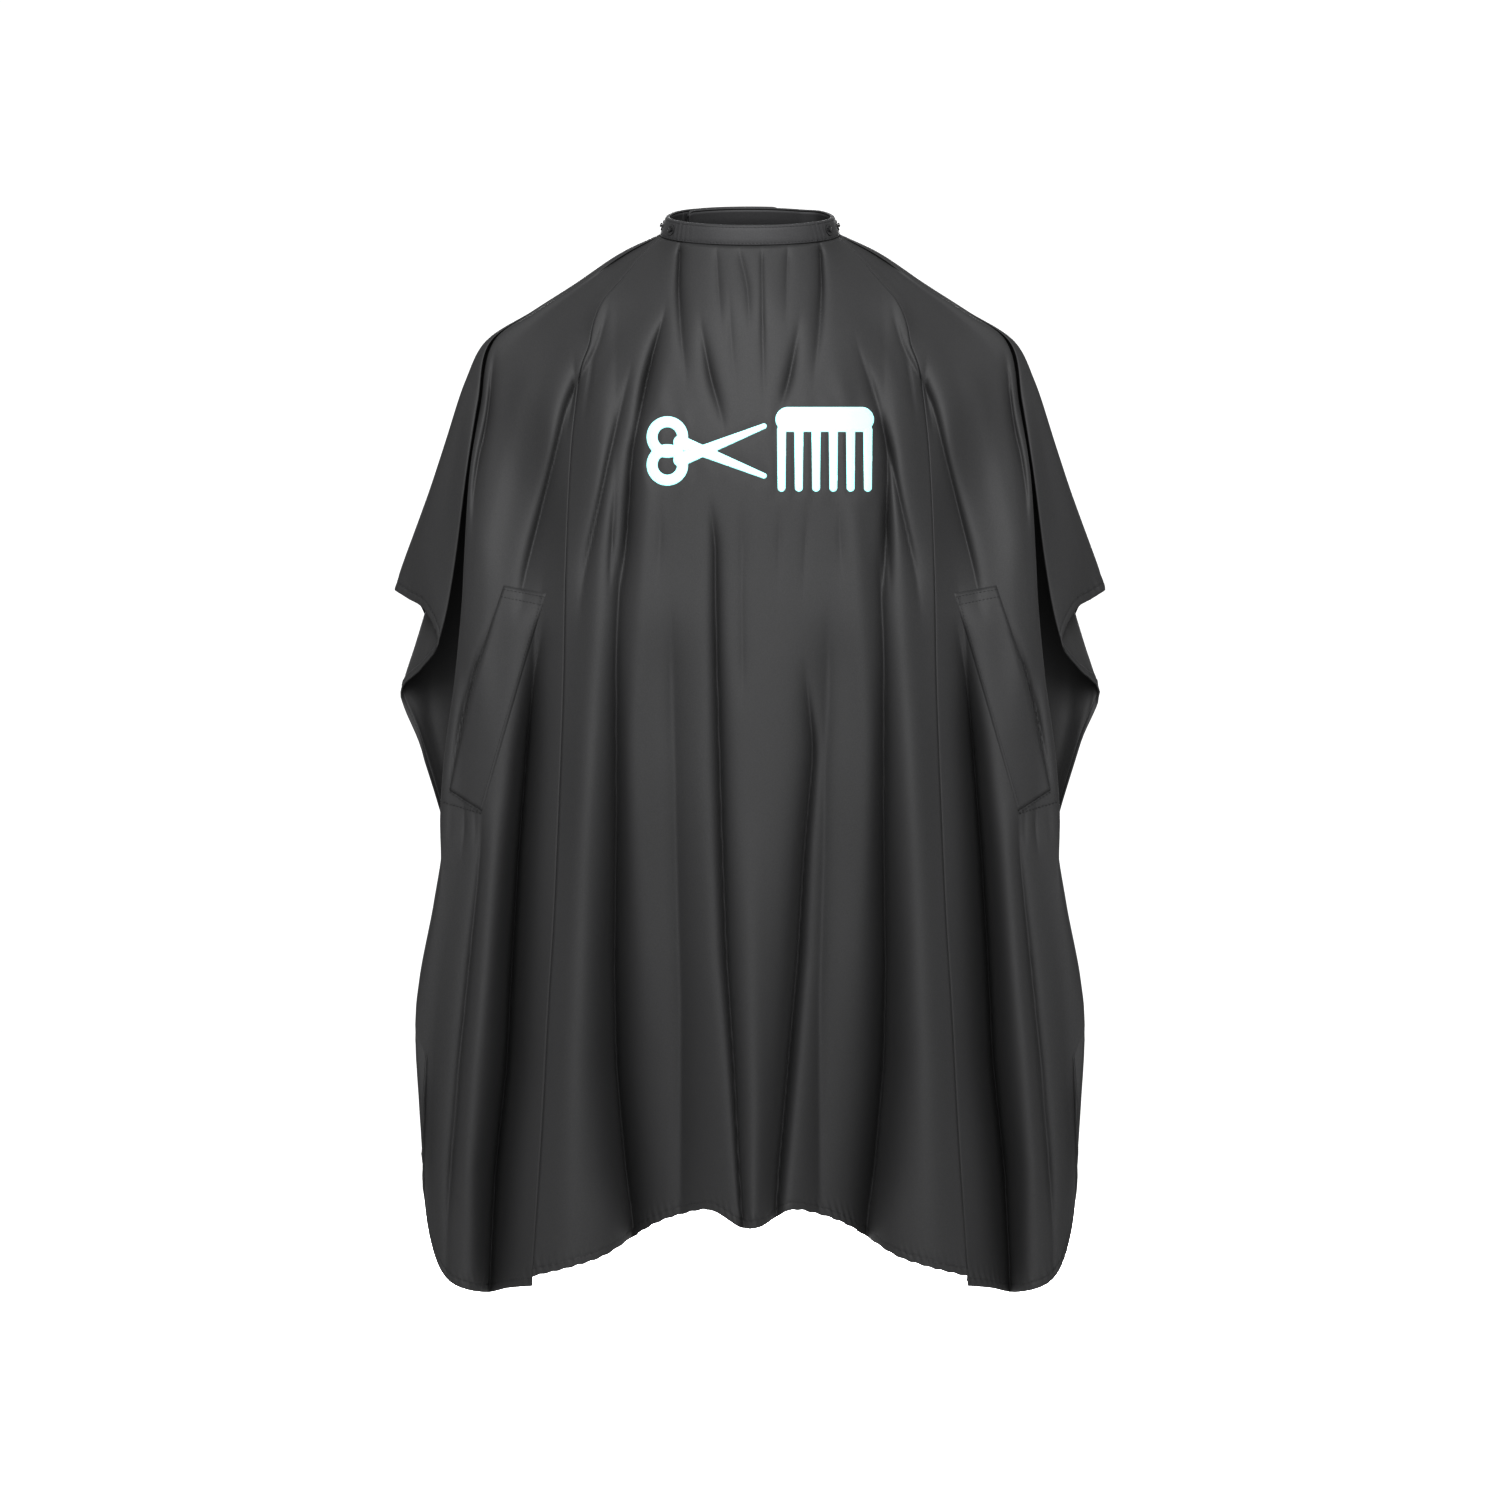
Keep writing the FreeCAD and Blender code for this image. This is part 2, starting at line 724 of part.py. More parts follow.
def node_objects():
    """Cloth features and groups of fasteners: everything that is a piece of its own."""
    kinds = ("Part::Compound",)
    return [o for o in doc.Objects if o.TypeId in kinds or o.TypeId == "Part::Feature"]


def check_document():
    for item in doc.Objects:
        if "Invalid" in item.State or "Error" in item.State:
            raise RuntimeError(f"{item.Label} failed: {item.State}")
    for item in node_objects():
        shape = item.Shape
        if shape.isNull() or not shape.isValid() or shape.Volume <= 0:
            raise RuntimeError(f"{item.Label} has no valid shape")


def write_parts():
    os.makedirs("parts", exist_ok=True)
    for item in node_objects():
        item.Shape.exportStep(f"parts/{item.Label}.step")
        print(f"{item.Label}: {len(item.Shape.Solids)} solids, {item.Shape.Volume / 1000:.2f} cm3")


add_panels()
add_hand_openings()
add_neckband()
add_studs()
add_sockets()
add_embroidery()
doc.recompute()
check_document()
write_parts()
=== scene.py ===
"""Looks of the barber cape: draped cloth panels, neckband, stitching and embroidery round the CAD model.

Shapes are laid out in millimetres as they look from the front: x across, z up, both at the scale of
one vertical plane through the chest, and y away from the viewer. hang() moves a point along the line
of sight to its own depth, so a fold can move in y without moving in the view. Lists of places are for
the viewer's left, with x positive outwards, and they are turned to each side by its sign.
"""

import bpy
import math
import numpy as np
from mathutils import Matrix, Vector
from mathutils.bvhtree import BVHTree


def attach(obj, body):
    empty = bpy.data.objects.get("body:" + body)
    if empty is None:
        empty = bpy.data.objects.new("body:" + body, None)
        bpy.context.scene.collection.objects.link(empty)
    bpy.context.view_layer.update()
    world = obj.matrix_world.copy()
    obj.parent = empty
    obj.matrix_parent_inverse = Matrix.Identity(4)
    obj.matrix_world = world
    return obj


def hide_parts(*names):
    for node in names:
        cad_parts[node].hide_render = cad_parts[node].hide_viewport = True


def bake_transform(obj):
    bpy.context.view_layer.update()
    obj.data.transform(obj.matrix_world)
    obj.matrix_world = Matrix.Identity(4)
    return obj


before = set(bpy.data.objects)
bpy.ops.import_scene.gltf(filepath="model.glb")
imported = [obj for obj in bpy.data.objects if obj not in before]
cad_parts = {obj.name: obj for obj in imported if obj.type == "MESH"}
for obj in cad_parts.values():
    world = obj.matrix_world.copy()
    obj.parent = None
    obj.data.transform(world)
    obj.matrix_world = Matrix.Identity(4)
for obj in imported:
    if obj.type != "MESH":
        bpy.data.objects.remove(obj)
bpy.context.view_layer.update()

# ---- the camera: it comes first, because the layout is drawn as it sees it ----

EYE_DISTANCE = 5000.0
EYE_HEIGHT = -501.0
PLANE_DEPTH = 0.0
VIEW_WIDTH = 1425.0
SENSOR_WIDTH = 36.0


def add_camera():
    data = bpy.data.cameras.new("camera")
    data.sensor_width = SENSOR_WIDTH
    data.lens = SENSOR_WIDTH * (EYE_DISTANCE + PLANE_DEPTH) / VIEW_WIDTH
    data.clip_end = 30
    camera = bpy.data.objects.new("camera", data)
    camera.location = (0, -EYE_DISTANCE / 1000, EYE_HEIGHT / 1000)
    camera.rotation_euler = (math.radians(90), 0, 0)
    bpy.context.collection.objects.link(camera)
    bpy.context.scene.camera = camera


def hang(points):
    """From the layout to metres in the frame: each point slides along its line of sight."""
    points = np.asarray(points, float)
    scale = (EYE_DISTANCE + points[..., 1]) / (EYE_DISTANCE + PLANE_DEPTH)
    x = points[..., 0] * scale
    z = EYE_HEIGHT + (points[..., 2] - EYE_HEIGHT) * scale
    return np.stack([x, points[..., 1], z], axis=-1) / 1000


def seen(points):
    """From millimetres in the frame to the layout: the inverse of hang."""
    points = np.asarray(points, float)
    scale = (EYE_DISTANCE + points[..., 1]) / (EYE_DISTANCE + PLANE_DEPTH)
    x = points[..., 0] / scale
    z = EYE_HEIGHT + (points[..., 2] - EYE_HEIGHT) / scale
    return np.stack([x, points[..., 1], z], axis=-1)


# ---- curves and grids ----

MAIN_ROWS = np.linspace(0, 1, 190)
TRACK_STEPS = 16
HEM_ZONE = 14.0
HEM_DEPTH = 8.0
HEM_DISTANCES = np.array([12.0, 10.5, 9.2, 8.4, 7.6, 6.2, 4.6, 3.0, 1.6, 0.6, 0.0])


def between(points, counts):
    """Points on smooth curves through points, shape (knots, ..., 3).

    Each span has a count of even steps, or a list of the shares where its steps are.
    """
    first = 2 * points[0] - points[1]
    last = 2 * points[-1] - points[-2]
    full = np.concatenate([first[None], points, last[None]])
    gaps = np.maximum(np.linalg.norm(np.diff(full, axis=0), axis=-1), 1e-3) ** 0.5
    knots = np.concatenate([np.zeros_like(gaps[:1]), np.cumsum(gaps, axis=0)])[..., None]
    result = []
    for span in range(1, len(full) - 2):
        p0, p1, p2, p3 = full[span - 1 : span + 3]
        t0, t1, t2, t3 = knots[span - 1 : span + 3]
        shares = counts[span - 1]
        if isinstance(shares, int):
            shares = [step / shares for step in range(shares)]
        for share in shares:
            t = t1 + (t2 - t1) * share
            a1 = (t1 - t) / (t1 - t0) * p0 + (t - t0) / (t1 - t0) * p1
            a2 = (t2 - t) / (t2 - t1) * p1 + (t - t1) / (t2 - t1) * p2
            a3 = (t3 - t) / (t3 - t2) * p2 + (t - t2) / (t3 - t2) * p3
            b1 = (t2 - t) / (t2 - t0) * a1 + (t - t0) / (t2 - t0) * a2
            b2 = (t3 - t) / (t3 - t1) * a2 + (t - t1) / (t3 - t1) * a3
            result.append((t2 - t) / (t2 - t1) * b1 + (t - t1) / (t2 - t1) * b2)
    result.append(points[-1])
    return np.array(result)


def track(points, levels):
    """One line of cloth from the neckband to the hem, at every row. Levels say which row each point is on.

    Fewer levels than points means that the rest of the points share the rest of the rows by length.
    """
    points = np.array(points, float)
    levels = list(levels[: len(points)])
    steps = np.concatenate([[0], np.cumsum(np.linalg.norm(np.diff(points, axis=0), axis=1))])
    known = len(levels)
    if known < len(points):
        left = (steps[known:] - steps[known - 1]) / (steps[-1] - steps[known - 1])
        levels += list(levels[-1] + (1 - levels[-1]) * left)
    dense = between(points, [TRACK_STEPS] * (len(points) - 1))
    rows = np.interp(np.arange(len(dense)) / TRACK_STEPS, np.arange(len(points)), levels)
    length = np.concatenate([[0], np.cumsum(np.linalg.norm(np.diff(dense, axis=0), axis=1))])
    hem_start = np.interp(length[-1] - HEM_ZONE, length, rows)
    hem = np.interp(length[-1] - HEM_DISTANCES, length, rows)
    wanted = np.concatenate([MAIN_ROWS * hem_start, hem])
    return np.stack([np.interp(wanted, rows, dense[:, axis]) for axis in range(3)], axis=-1)


def on_side(points, side):
    """Points given for the viewer's left, x outwards, put on a side: -1 is the viewer's left."""
    points = np.array(points, float)
    points[..., 0] *= side
    return points


def smooth_step(value):
    value = np.clip(value, 0, 1)
    return value * value * (3 - 2 * value)


# ---- the neckband's geometry, repeated from the CAD model ----

NECK_HALF = (85.5, 62.5)
RING_DROP = 3.0
BAND_TILT = math.radians(14.5)
BAND_LEAN = math.tan(math.radians(17.0))
BAND_HEIGHT = 18.0
UNDERLAP_INSET = 6.5


def ring_point(angle, height, depth=0.0, underlap=True):
    """A point of the band in millimetres in the frame: height from its middle, depth from its outer face."""
    turn = np.radians(angle)
    across = np.sin(turn) / NECK_HALF[0]
    along = -np.cos(turn) / NECK_HALF[1]
    size = np.hypot(across, along)
    away = np.abs(np.where(angle > 180, angle - 360, angle))
    inset = depth + BAND_LEAN * (height + BAND_HEIGHT / 2) * (1 - smooth_step((away - 100) / 40))
    if underlap:
        inset = inset + UNDERLAP_INSET * smooth_step((angle - 125) / 18)
    x = NECK_HALF[0] * np.sin(turn) - across / size * inset
    y = -NECK_HALF[1] * np.cos(turn) - along / size * inset
    z = height + 0 * x
    turned_y = y * math.cos(BAND_TILT) - z * math.sin(BAND_TILT)
    turned_z = y * math.sin(BAND_TILT) + z * math.cos(BAND_TILT) - RING_DROP
    return np.stack([x, turned_y, turned_z], axis=-1)


def under_band(angle, underlap=True):
    """Where a track leaves the band, in the layout, with x outwards for a negative angle."""
    point = seen(ring_point(np.array(float(angle)), -BAND_HEIGHT / 2 + 0.6, 1.4, underlap))
    return (-point[0], point[1], point[2])


# ---- tracks of cloth: (x, y, z), x outwards ----

SEAM = [
    (102, -15, -31),
    (123, -27, -55),
    (139, -37, -73),
    (146, -42, -87),
    (150, -46, -101),
    (152.5, -51, -116),
    (160, -58, -137),
    (168, -76, -197),
    (172, -89, -254),
    (175, -103, -333),
    (177, -119, -440),
    (181.5, -133, -560),
    (186, -144, -660),
    (191, -152, -739),
    (198, -164, -870),
    (207, -176, -1001),
]
FRONT_LEVELS = (0, 0.058, 0.127, 0.24, 0.349, 0.448, 0.552, 0.646, 0.743, 0.871, 1)
FRONT_ANGLES = (-76, -62, -47, -31, -16, 0)
FRONT_TRACKS = [
    [(103, -44, -62), (129, -64, -118), (142, -96, -220), (146, -115, -340), (148, -128, -440),
     (152, -141, -545), (154, -149, -640), (158, -159, -740), (164, -169, -870), (172, -178, -999)],
    [(85, -57, -67), (105, -77, -118), (114, -106, -212), (117, -123, -340), (119, -135, -440),
     (122, -147, -545), (124, -155, -640), (127, -165, -740), (131, -174, -870), (138, -181, -981)],
    [(65, -69, -71), (80, -87, -118), (86, -113, -206), (88, -129, -340), (89, -140, -440),
     (91, -151, -545), (93, -159, -640), (95, -169, -740), (98, -178, -870), (103, -185, -957)],
    [(44, -78, -73), (54, -94, -118), (58, -118, -202), (59, -132, -340), (60, -142, -440),
     (61, -153, -545), (62, -161, -640), (63, -171, -740), (65, -181, -870), (68, -188, -943)],
    [(22, -84, -74), (27, -98, -118), (29, -121, -200), (30, -134, -340), (30, -144, -440),
     (30, -154, -545), (31, -163, -640), (32, -173, -740), (33, -183, -870), (34, -190, -939)],
    [(0, -86, -75), (0, -99, -118), (0, -122, -200), (0, -135, -340), (0, -145, -440),
     (0, -155, -545), (0, -164, -640), (0, -174, -740), (0, -184, -870), (0, -193, -956)],
]

SIDE_LEVELS = (0, 0.04, 0.09, 0.15, 0.22)
SIDE_TRACKS = [
    (-87.0, [(113.5, -10, -38.5), (148.5, -24, -76), (172, -44, -124), (186, -66, -186), (191, -80, -277),
             (199, -100, -378), (203, -117, -480), (207, -130, -583), (214, -140, -690), (221, -151, -797),
             (226, -162, -905), (230, -168, -1012)]),
    (-88.0, [(116, -5, -35.8), (154, -14, -71), (184, -28, -112), (202, -46, -163), (211, -64, -262),
             (224, -88, -362), (228, -107, -465), (231, -122, -570), (239, -131, -680), (249, -141, -790),
             (254, -152, -905), (252, -162, -1016)]),
    (-89.0, [(118, -1, -33.6), (159, -6, -66.5), (194, -14, -101), (218, -28, -142), (230, -48, -235),
             (244, -74, -335), (249, -95, -440), (253, -110, -545), (262, -121, -660), (278, -129, -775),
             (288, -138, -895), (286, -148, -1005)]),
    (-89.8, [(119.7, 2, -31.8), (162, 0, -63), (201, -4, -93), (232, -14, -127), (247, -34, -205),
             (260, -61, -300), (268, -81, -400), (272, -95, -505), (277, -108, -615), (295, -113, -730),
             (304, -120, -850), (305, -130, -960)]),
    (-90.6, [(120.6, 4, -30.5), (164.4, 3, -60.6), (205, 1, -86.6), (244, -4, -116), (256, -14, -175),
             (266, -32, -235), (271.7, -55, -321), (273.6, -62, -359), (281, -76, -438), (290.7, -86, -511),
             (294, -92, -560), (293, -99, -600), (302, -103, -660), (317, -106, -745), (315, -112, -786),
             (309, -120, -838)]),
    (-91.2, [(120.9, 5, -30), (164.9, 5, -60), (205.4, 4, -86), (243.6, 0, -113.5), (251, -3, -170),
             (256, -8, -235), (262, -25, -321), (268, -44, -420), (276, -66, -520), (286, -82, -620),
             (297, -96, -715)]),
    (-91.8, [(121.2, 6, -29.6), (165.3, 6, -59.6), (205.7, 6, -85.6), (243.4, 5, -112.6), (250, 12, -170),
             (255, 20, -235), (262, 18, -321), (268, 0, -420), (272, -34, -520), (278, -58, -600),
             (281, -68, -630)]),
    (-92.4, [(121.4, 7, -29.3), (165.7, 7, -59.2), (206, 8, -85.2), (245, 9, -112), (257, 20, -170),
             (267, 28, -235), (279, 26, -310), (293, 16, -390), (306, -2, -455), (312, -28, -500)]),
    (-93.0, [(121.6, 8, -29), (166, 8, -58.9), (206.3, 9, -84.9), (247, 10, -112), (262, 16, -170),
             (276, 18, -235), (291, 16, -300), (307, 10, -365), (319, 0, -405), (329, -10, -436),
             (331, -14, -446)]),
    (-93.6, [(121.8, 9, -28.8), (166.3, 9, -58.7), (206.6, 9.5, -84.7), (247.5, 5, -113), (261, 0, -170),
             (273, -8, -235), (285, -18, -310), (298, -27, -375), (312, -35, -424)]),
    (-94.2, [(122, 10, -28.7), (166.5, 10, -58.6), (206.8, 9.8, -84.6), (248, -2, -115), (258.5, -14, -169),
             (269, -27, -235), (280, -37, -321), (288, -42, -368), (296.5, -45, -401)]),
    (-94.8, [(122, 10.5, -28.7), (166.6, 10.5, -58.6), (207, 10, -84.6), (250, 0, -114), (266, -8, -160),
             (282, -17, -235), (297, -25, -310), (305, -28, -345), (310, -28, -367)]),
    (-95.4, [(122, 11, -28.8), (166.7, 11, -58.7), (207.2, 10.5, -84.7), (251.5, 4, -113.5), (270, 0, -150),
             (288, -4, -205), (305, -7, -262), (318, -10, -315), (325, -11, -357)]),
    (-96.0, [(122, 12, -29), (166.3, 12, -59.3), (206.8, 11, -85.6), (251.5, 8, -114.6), (263.5, 5, -142),
             (281, 3, -192), (298.5, 2, -240), (316, 2, -287), (331, 2, -328), (337.5, 2, -349)]),
    (-98.0, [(121, 17, -31), (164, 18, -61.5), (204, 19, -89), (246, 18, -120), (262, 18, -165),
             (284, 22, -235), (304, 26, -310), (314, 30, -362)]),
    (-102.0, [(113, 30, -40), (152, 40, -74), (192, 44, -106), (226, 44, -142), (254, 46, -220),
              (280, 52, -330), (294, 58, -430)]),
    (-110.0, [(103, 43, -46), (138, 56, -84), (172, 64, -125), (203, 66, -172), (232, 70, -270),
              (258, 76, -390), (276, 80, -505)]),
    (-118.0, [(92, 53, -50), (118, 68, -92), (145, 78, -145), (172, 84, -205), (198, 92, -320),
              (222, 98, -450), (246, 92, -565)]),
    (-123.0, [(86, 58, -52), (102, 71, -97), (118, 82, -153), (135, 91, -212), (155, 99, -320),
              (172, 106, -450), (192, 106, -586)]),
    (-127.0, [(81.5, 61, -53), (85.5, 71, -104), (91, 81, -160), (98, 90, -215), (110, 101, -320),
              (122, 109, -440), (134, 117, -580)]),
]
FROM_SEAM = [0, 0.012, 0.03, 0.055, 0.085, 0.12, 0.17, 0.23, 0.29, 0.36, 0.43, 0.5, 0.57, 0.64, 0.71, 0.78,
             0.86, 0.93]
TO_SEAM = [0.0] + [1 - share for share in reversed(FROM_SEAM[1:])]
SIDE_COUNTS = [FROM_SEAM, 20, 20, 16, 12, 7, 7, 9, 9, 8, 8, 9, 9, 9, 8, 10, 12, 12, 12, 12]
FRONT_COUNTS = [FROM_SEAM] + [20] * 10 + [TO_SEAM]


# ---- folds on the front: lines down the cloth, each with its depth and half width ----


def fold(path, depths, widths, sides=(-1, 1), flanks=None):
    """A fold along path, (x, z) points from the top down. A negative depth comes towards the viewer.

    Flanks are the widths of a long even slope from a valley towards the middle of the cape.
    """
    return path, depths, widths, sides, flanks


FOLDS = [
    # creases from the neckband
    fold([(66, -18), (68, -60), (65, -109), (60, -150)], (10, 12, 6, 0), (4, 5, 7, 8)),
    fold([(50, -30), (48, -90), (42.5, -120), (37, -150), (29.5, -174), (22, -205)], (0, 0, 5, 10, 5, 0),
         (6, 6, 6, 6, 7, 8)),
    fold([(36, -20), (35, -50), (34, -100)], (3, 4, 0), (5, 7, 9), (1,)),
    fold([(11, -18), (12, -100), (14, -190)], (3, 3.5, 0), (3, 4, 6), (1,)),
    fold([(12, -22), (2, -60), (0, -110)], (3, 5, 0), (5, 7, 8), (-1,)),
    fold([(32, -22), (30, -60), (26, -110)], (2, 4, 0), (5, 7, 8), (-1,)),
    fold([(20, -60), (18, -110), (12, -170)], (0, 2.5, 0), (5, 7, 9), (-1,)),
    # the long valleys each side of the chest
    fold(
        [(80, -84), (89, -112), (98, -150), (106, -190), (112, -220), (117, -300), (124, -359)],
        (0, 10, 20, 14, 16, 16, 0),
        (6, 7, 6, 6, 6, 6, 7),
        (-1,),
    ),
    fold(
        [(100, -112), (113, -150), (124, -190), (131, -220), (129, -300), (126, -359)],
        (0, 5, 10, 16, 15, 0),
        (6, 6, 6, 6, 6, 7),
        (1,),
    ),
    fold(
        [(122, -310), (125, -359), (127, -416), (127, -500), (127, -600), (129, -700), (127, -800),
         (118, -900), (111, -950)],
        (0, 8, 10, 18, 22, 25, 26, 26, 20),
        (7, 7, 8, 10, 11, 12, 13, 13, 12),
    ),
    fold(
        [(127, -380), (127, -500), (127, -600), (129, -700), (127, -800), (118, -900), (111, -950)],
        (4, 12, 22, 34, 48, 56, 56),
        (24, 24, 24, 25, 26, 28, 28),
        flanks=(95, 95, 100, 110, 115, 110, 105),
    ),
    fold(
        [(112, -140), (116.5, -151), (133, -220), (150, -300), (157, -330), (163, -380)],
        (0, 3, 8, 10, 5, 0),
        (5, 6, 5, 5, 7, 8),
    ),
    fold(
        [(138, -100), (142, -112), (173, -169), (185, -220), (205, -300), (213, -331), (222, -380)],
        (0, 3, 10, 14, 14, 10, 0),
        (5, 6, 6, 6, 7, 7, 10),
        flanks=(20, 20, 24, 32, 40, 44, 48),
    ),
    # the deep valley under the hand slit
    fold(
        [(196, -380), (205, -429), (212, -500), (220, -600), (226, -700), (231, -800), (242, -900),
         (247, -1000)],
        (0, 12, 42, 54, 58, 58, 52, 34),
        (10, 10, 11, 12, 13, 14, 14, 14),
    ),
    fold(
        [(196, -340), (205, -400), (212, -500), (220, -600), (226, -700), (231, -800), (242, -900),
         (247, -1000)],
        (0, 9, 14, 16, 20, 24, 28, 28),
        (10, 11, 11, 11, 12, 13, 13, 13),
        flanks=(40, 45, 50, 55, 58, 60, 66, 66),
    ),
    # wide hollows each side of the middle
    fold([(72, -380), (72, -480), (70, -600), (66, -740), (66, -860), (66, -950)], (0, 8, 13, 15, 13, 8),
         (26, 26, 27, 28, 28, 28)),
    # the hollow that the hand flap's open edge hangs over
    fold([(244, -378), (255, -405), (263, -430), (270, -458), (277, -490), (283, -520), (287, -545)],
         (0, 4, 9, 9, 7, 4, 0), (3, 6, 8, 7, 6, 4, 4), flanks=(2, 2, 2, 2, 2, 2, 2)),
    # puckers below the hand slit
    fold([(262, -556), (260, -568), (262, -590)], (0, 3, 0), (2.5, 3, 4)),
    fold([(272, -556), (270, -570), (274, -600)], (0, 3.5, 0), (2.5, 3, 4)),
    fold([(283, -552), (284, -566), (287, -590)], (0, 2.5, 0), (2, 3, 3)),
    # ridges
    fold(
        [(80, -120), (89, -169), (101, -302), (108, -400), (116, -500), (112, -600), (104, -700), (98, -800)],
        (0, -3, -4, -4, -4, -3, -2, 0),
        (9, 11, 12, 13, 12, 13, 14, 14),
    ),
    fold(
        [(128, -125), (138, -169), (142, -302), (146, -400), (152, -500), (158, -600), (160, -700),
         (165, -800), (168, -950)],
        (0, -2, -3, -5, -5, -5, -5, -4, -2),
        (8, 9, 12, 13, 14, 14, 16, 17, 16),
    ),
    fold(
        [(205, -140), (222, -169), (249, -302), (249, -359), (256, -416), (252, -500)],
        (0, -2, -3, -3, -3, 0),
        (10, 11, 12, 12, 12, 11),
    ),
    fold(
        [(246, -540), (244, -596), (250, -700), (262, -800), (268, -900), (266, -960)],
        (0, -3, -5, -6, -6, -2),
        (11, 12, 13, 13, 13, 12),
    ),
    # the shallow hollow near the outline
    fold(
        [(255, -540), (256, -600), (266, -700), (276, -800), (284, -900), (288, -960)],
        (0, 5, 9, 10, 10, 4),
        (6, 6, 7, 8, 8, 8),
    ),
    # a shallow hollow below the embroidery, and wrinkles in the upper half
    fold([(75, -360), (75, -420), (75, -520)], (0, 5, 0), (14, 16, 18)),
    fold([(148, -120), (152, -150), (158, -190)], (0, 4, 0), (3, 3, 4)),
    fold([(168, -130), (166, -160), (175, -200)], (0, 7, 0), (7, 8, 8)),
    fold([(128, -250), (131, -300), (134, -350)], (0, 5, 0), (3, 3.5, 4)),
    fold([(0, -280), (-8, -330), (-7, -420), (-7, -460)], (0, 1.5, 2.5, 0), (7, 7, 7, 7), (1,)),
    fold([(55, -270), (53, -300), (50, -360)], (0, 2, 0), (6, 6, 7), (1,)),
    fold([(28, -270), (28, -300), (27, -350)], (0, 2, 0), (6, 6, 7), (1,)),
    fold([(8, -270), (8, -300), (8, -340)], (0, 2, 0), (6, 6, 7), (-1,)),
    fold([(85, -270), (85, -300), (88, -340)], (0, 2.5, 0), (6, 6, 7)),
    # the narrow valleys beside the middle
    fold(
        [(38, -270), (33, -300), (32, -400), (29, -500), (26, -600), (22, -700), (15, -800), (10, -900),
         (7, -943)],
        (0, 8, 13, 16, 18, 19, 16, 13, 12),
        (6, 6, 6, 8, 8, 8, 6, 4, 4),
        (-1,),
    ),
    fold(
        [(52, -420), (60, -500), (51, -600), (45, -700), (36, -800), (27, -900), (24, -950)],
        (0, 16, 22, 28, 30, 26, 20),
        (8, 8, 9, 12, 11, 10, 8),
        (1,),
    ),
    fold(
        [(0, -560), (0, -650), (2, -750), (5, -850), (4, -950)],
        (0, -3, -5, -8, -9),
        (14, 14, 14, 12, 10),
        (1,),
    ),
    # the dark line beside the fold at the arm
    fold(
        [(243, -118), (246, -151), (249, -185), (257, -220), (262, -247), (264, -290)],
        (0, 8, 12, 13, 9, 0),
        (3, 3, 3.5, 4, 4.5, 5),
    ),
    fold([(135, -83), (140, -99), (144, -115), (150, -130)], (1, 3, 3, 0), (4, 5, 5, 6)),
]


FOLD_STEP = 2.0
FOLD_LEVELS = np.arange(10.0, -1060.0, -FOLD_STEP)
FOLD_SMOOTHING = 14.0
FOLD_REACH = 40
STIFFENING = 0.8


def smoothed(values, levels):
    """Values at the levels of a path, from the top down, as one smooth line at every fold level."""
    reach = np.arange(-FOLD_REACH, FOLD_REACH + 1) * FOLD_STEP
    weights = np.exp(-((reach / FOLD_SMOOTHING) ** 2))
    line = np.interp(-FOLD_LEVELS, -np.array(levels, float), values)
    padded = np.pad(line, FOLD_REACH, mode="edge")
    return np.convolve(padded, weights / weights.sum(), "valid")


def flank_shape(share):
    """An even slope that rounds off where it ends, at a share of 1."""
    return np.log1p(np.exp(np.minimum(12 * (1 - share), 40))) / 12


def fold_shape(outwards, width, depth, flank):
    """The profile of one fold, 1 on its line: round for a ridge, sharp for a valley."""
    away = np.abs(outwards) / width
    if np.min(depth) < 0:
        return np.exp(-away * away * 0.9)
    profile = np.exp(-1.45 * (np.sqrt(away * away + 0.002) - 0.045))
    if flank is not None:
        profile = np.where(outwards < 0, flank_shape(-outwards / flank), profile)
    return profile


def fold_depth(x, z):
    """How far all the folds push the cloth away from the viewer at (x, z) in the layout."""
    total = np.zeros_like(x)
    for path, depths, widths, sides, flanks in FOLDS:
        levels = [point[1] for point in path]
        rows = [[point[0] for point in path], depths, widths]
        if flanks is not None:
            rows.append(flanks)
        lines = [np.interp(-z, -FOLD_LEVELS, smoothed(values, levels)) for values in rows]
        middle, depth, width = lines[:3]
        flank = lines[3] if flanks is not None else None
        for side in sides:
            total += depth * fold_shape(side * x - middle, width, depth, flank)
    return total * (1 - STIFFENING * np.exp(-np.maximum(embroidery_distance(x, z), 0) / 9.0))


# ---- panels ----

FRONT_HEM = [(0, -956), (10, -954), (38, -938), (66, -942), (95, -953), (138, -981), (166, -991),
             (207, -1001)]
HEM_STEPS = 8
SEAM_GROOVE = (1.5, 0.7)
FADE_ROWS = 0.014
HEM_ROWS = len(HEM_DISTANCES)
SIDE_HEM_DROP = 9.0
SEAM_ALLOWANCE = 12.0
HEM_PUCKER = 0.8
PUCKER_PITCH = 8.0
SCALLOP = 0.5


def seam_track(drop=0.0):
    """The raglan seam. The side panel's hem hangs lower than the front panel's by drop."""
    x, y, z = SEAM[-1]
    return track([under_band(-86)] + SEAM[:-1] + [(x, y, z - drop)], [0])


def along_columns(line):
    """Length along a line of points, from its start."""
    return np.concatenate([[0], np.cumsum(np.linalg.norm(np.diff(line, axis=0), axis=-1))])


def seam_groove(grid, column):
    """The cloth rolls in beside a seam."""
    depth, width = SEAM_GROOVE
    away = np.linalg.norm(grid - grid[:, [column]], axis=-1)
    return depth * np.exp(-((away / width) ** 2))


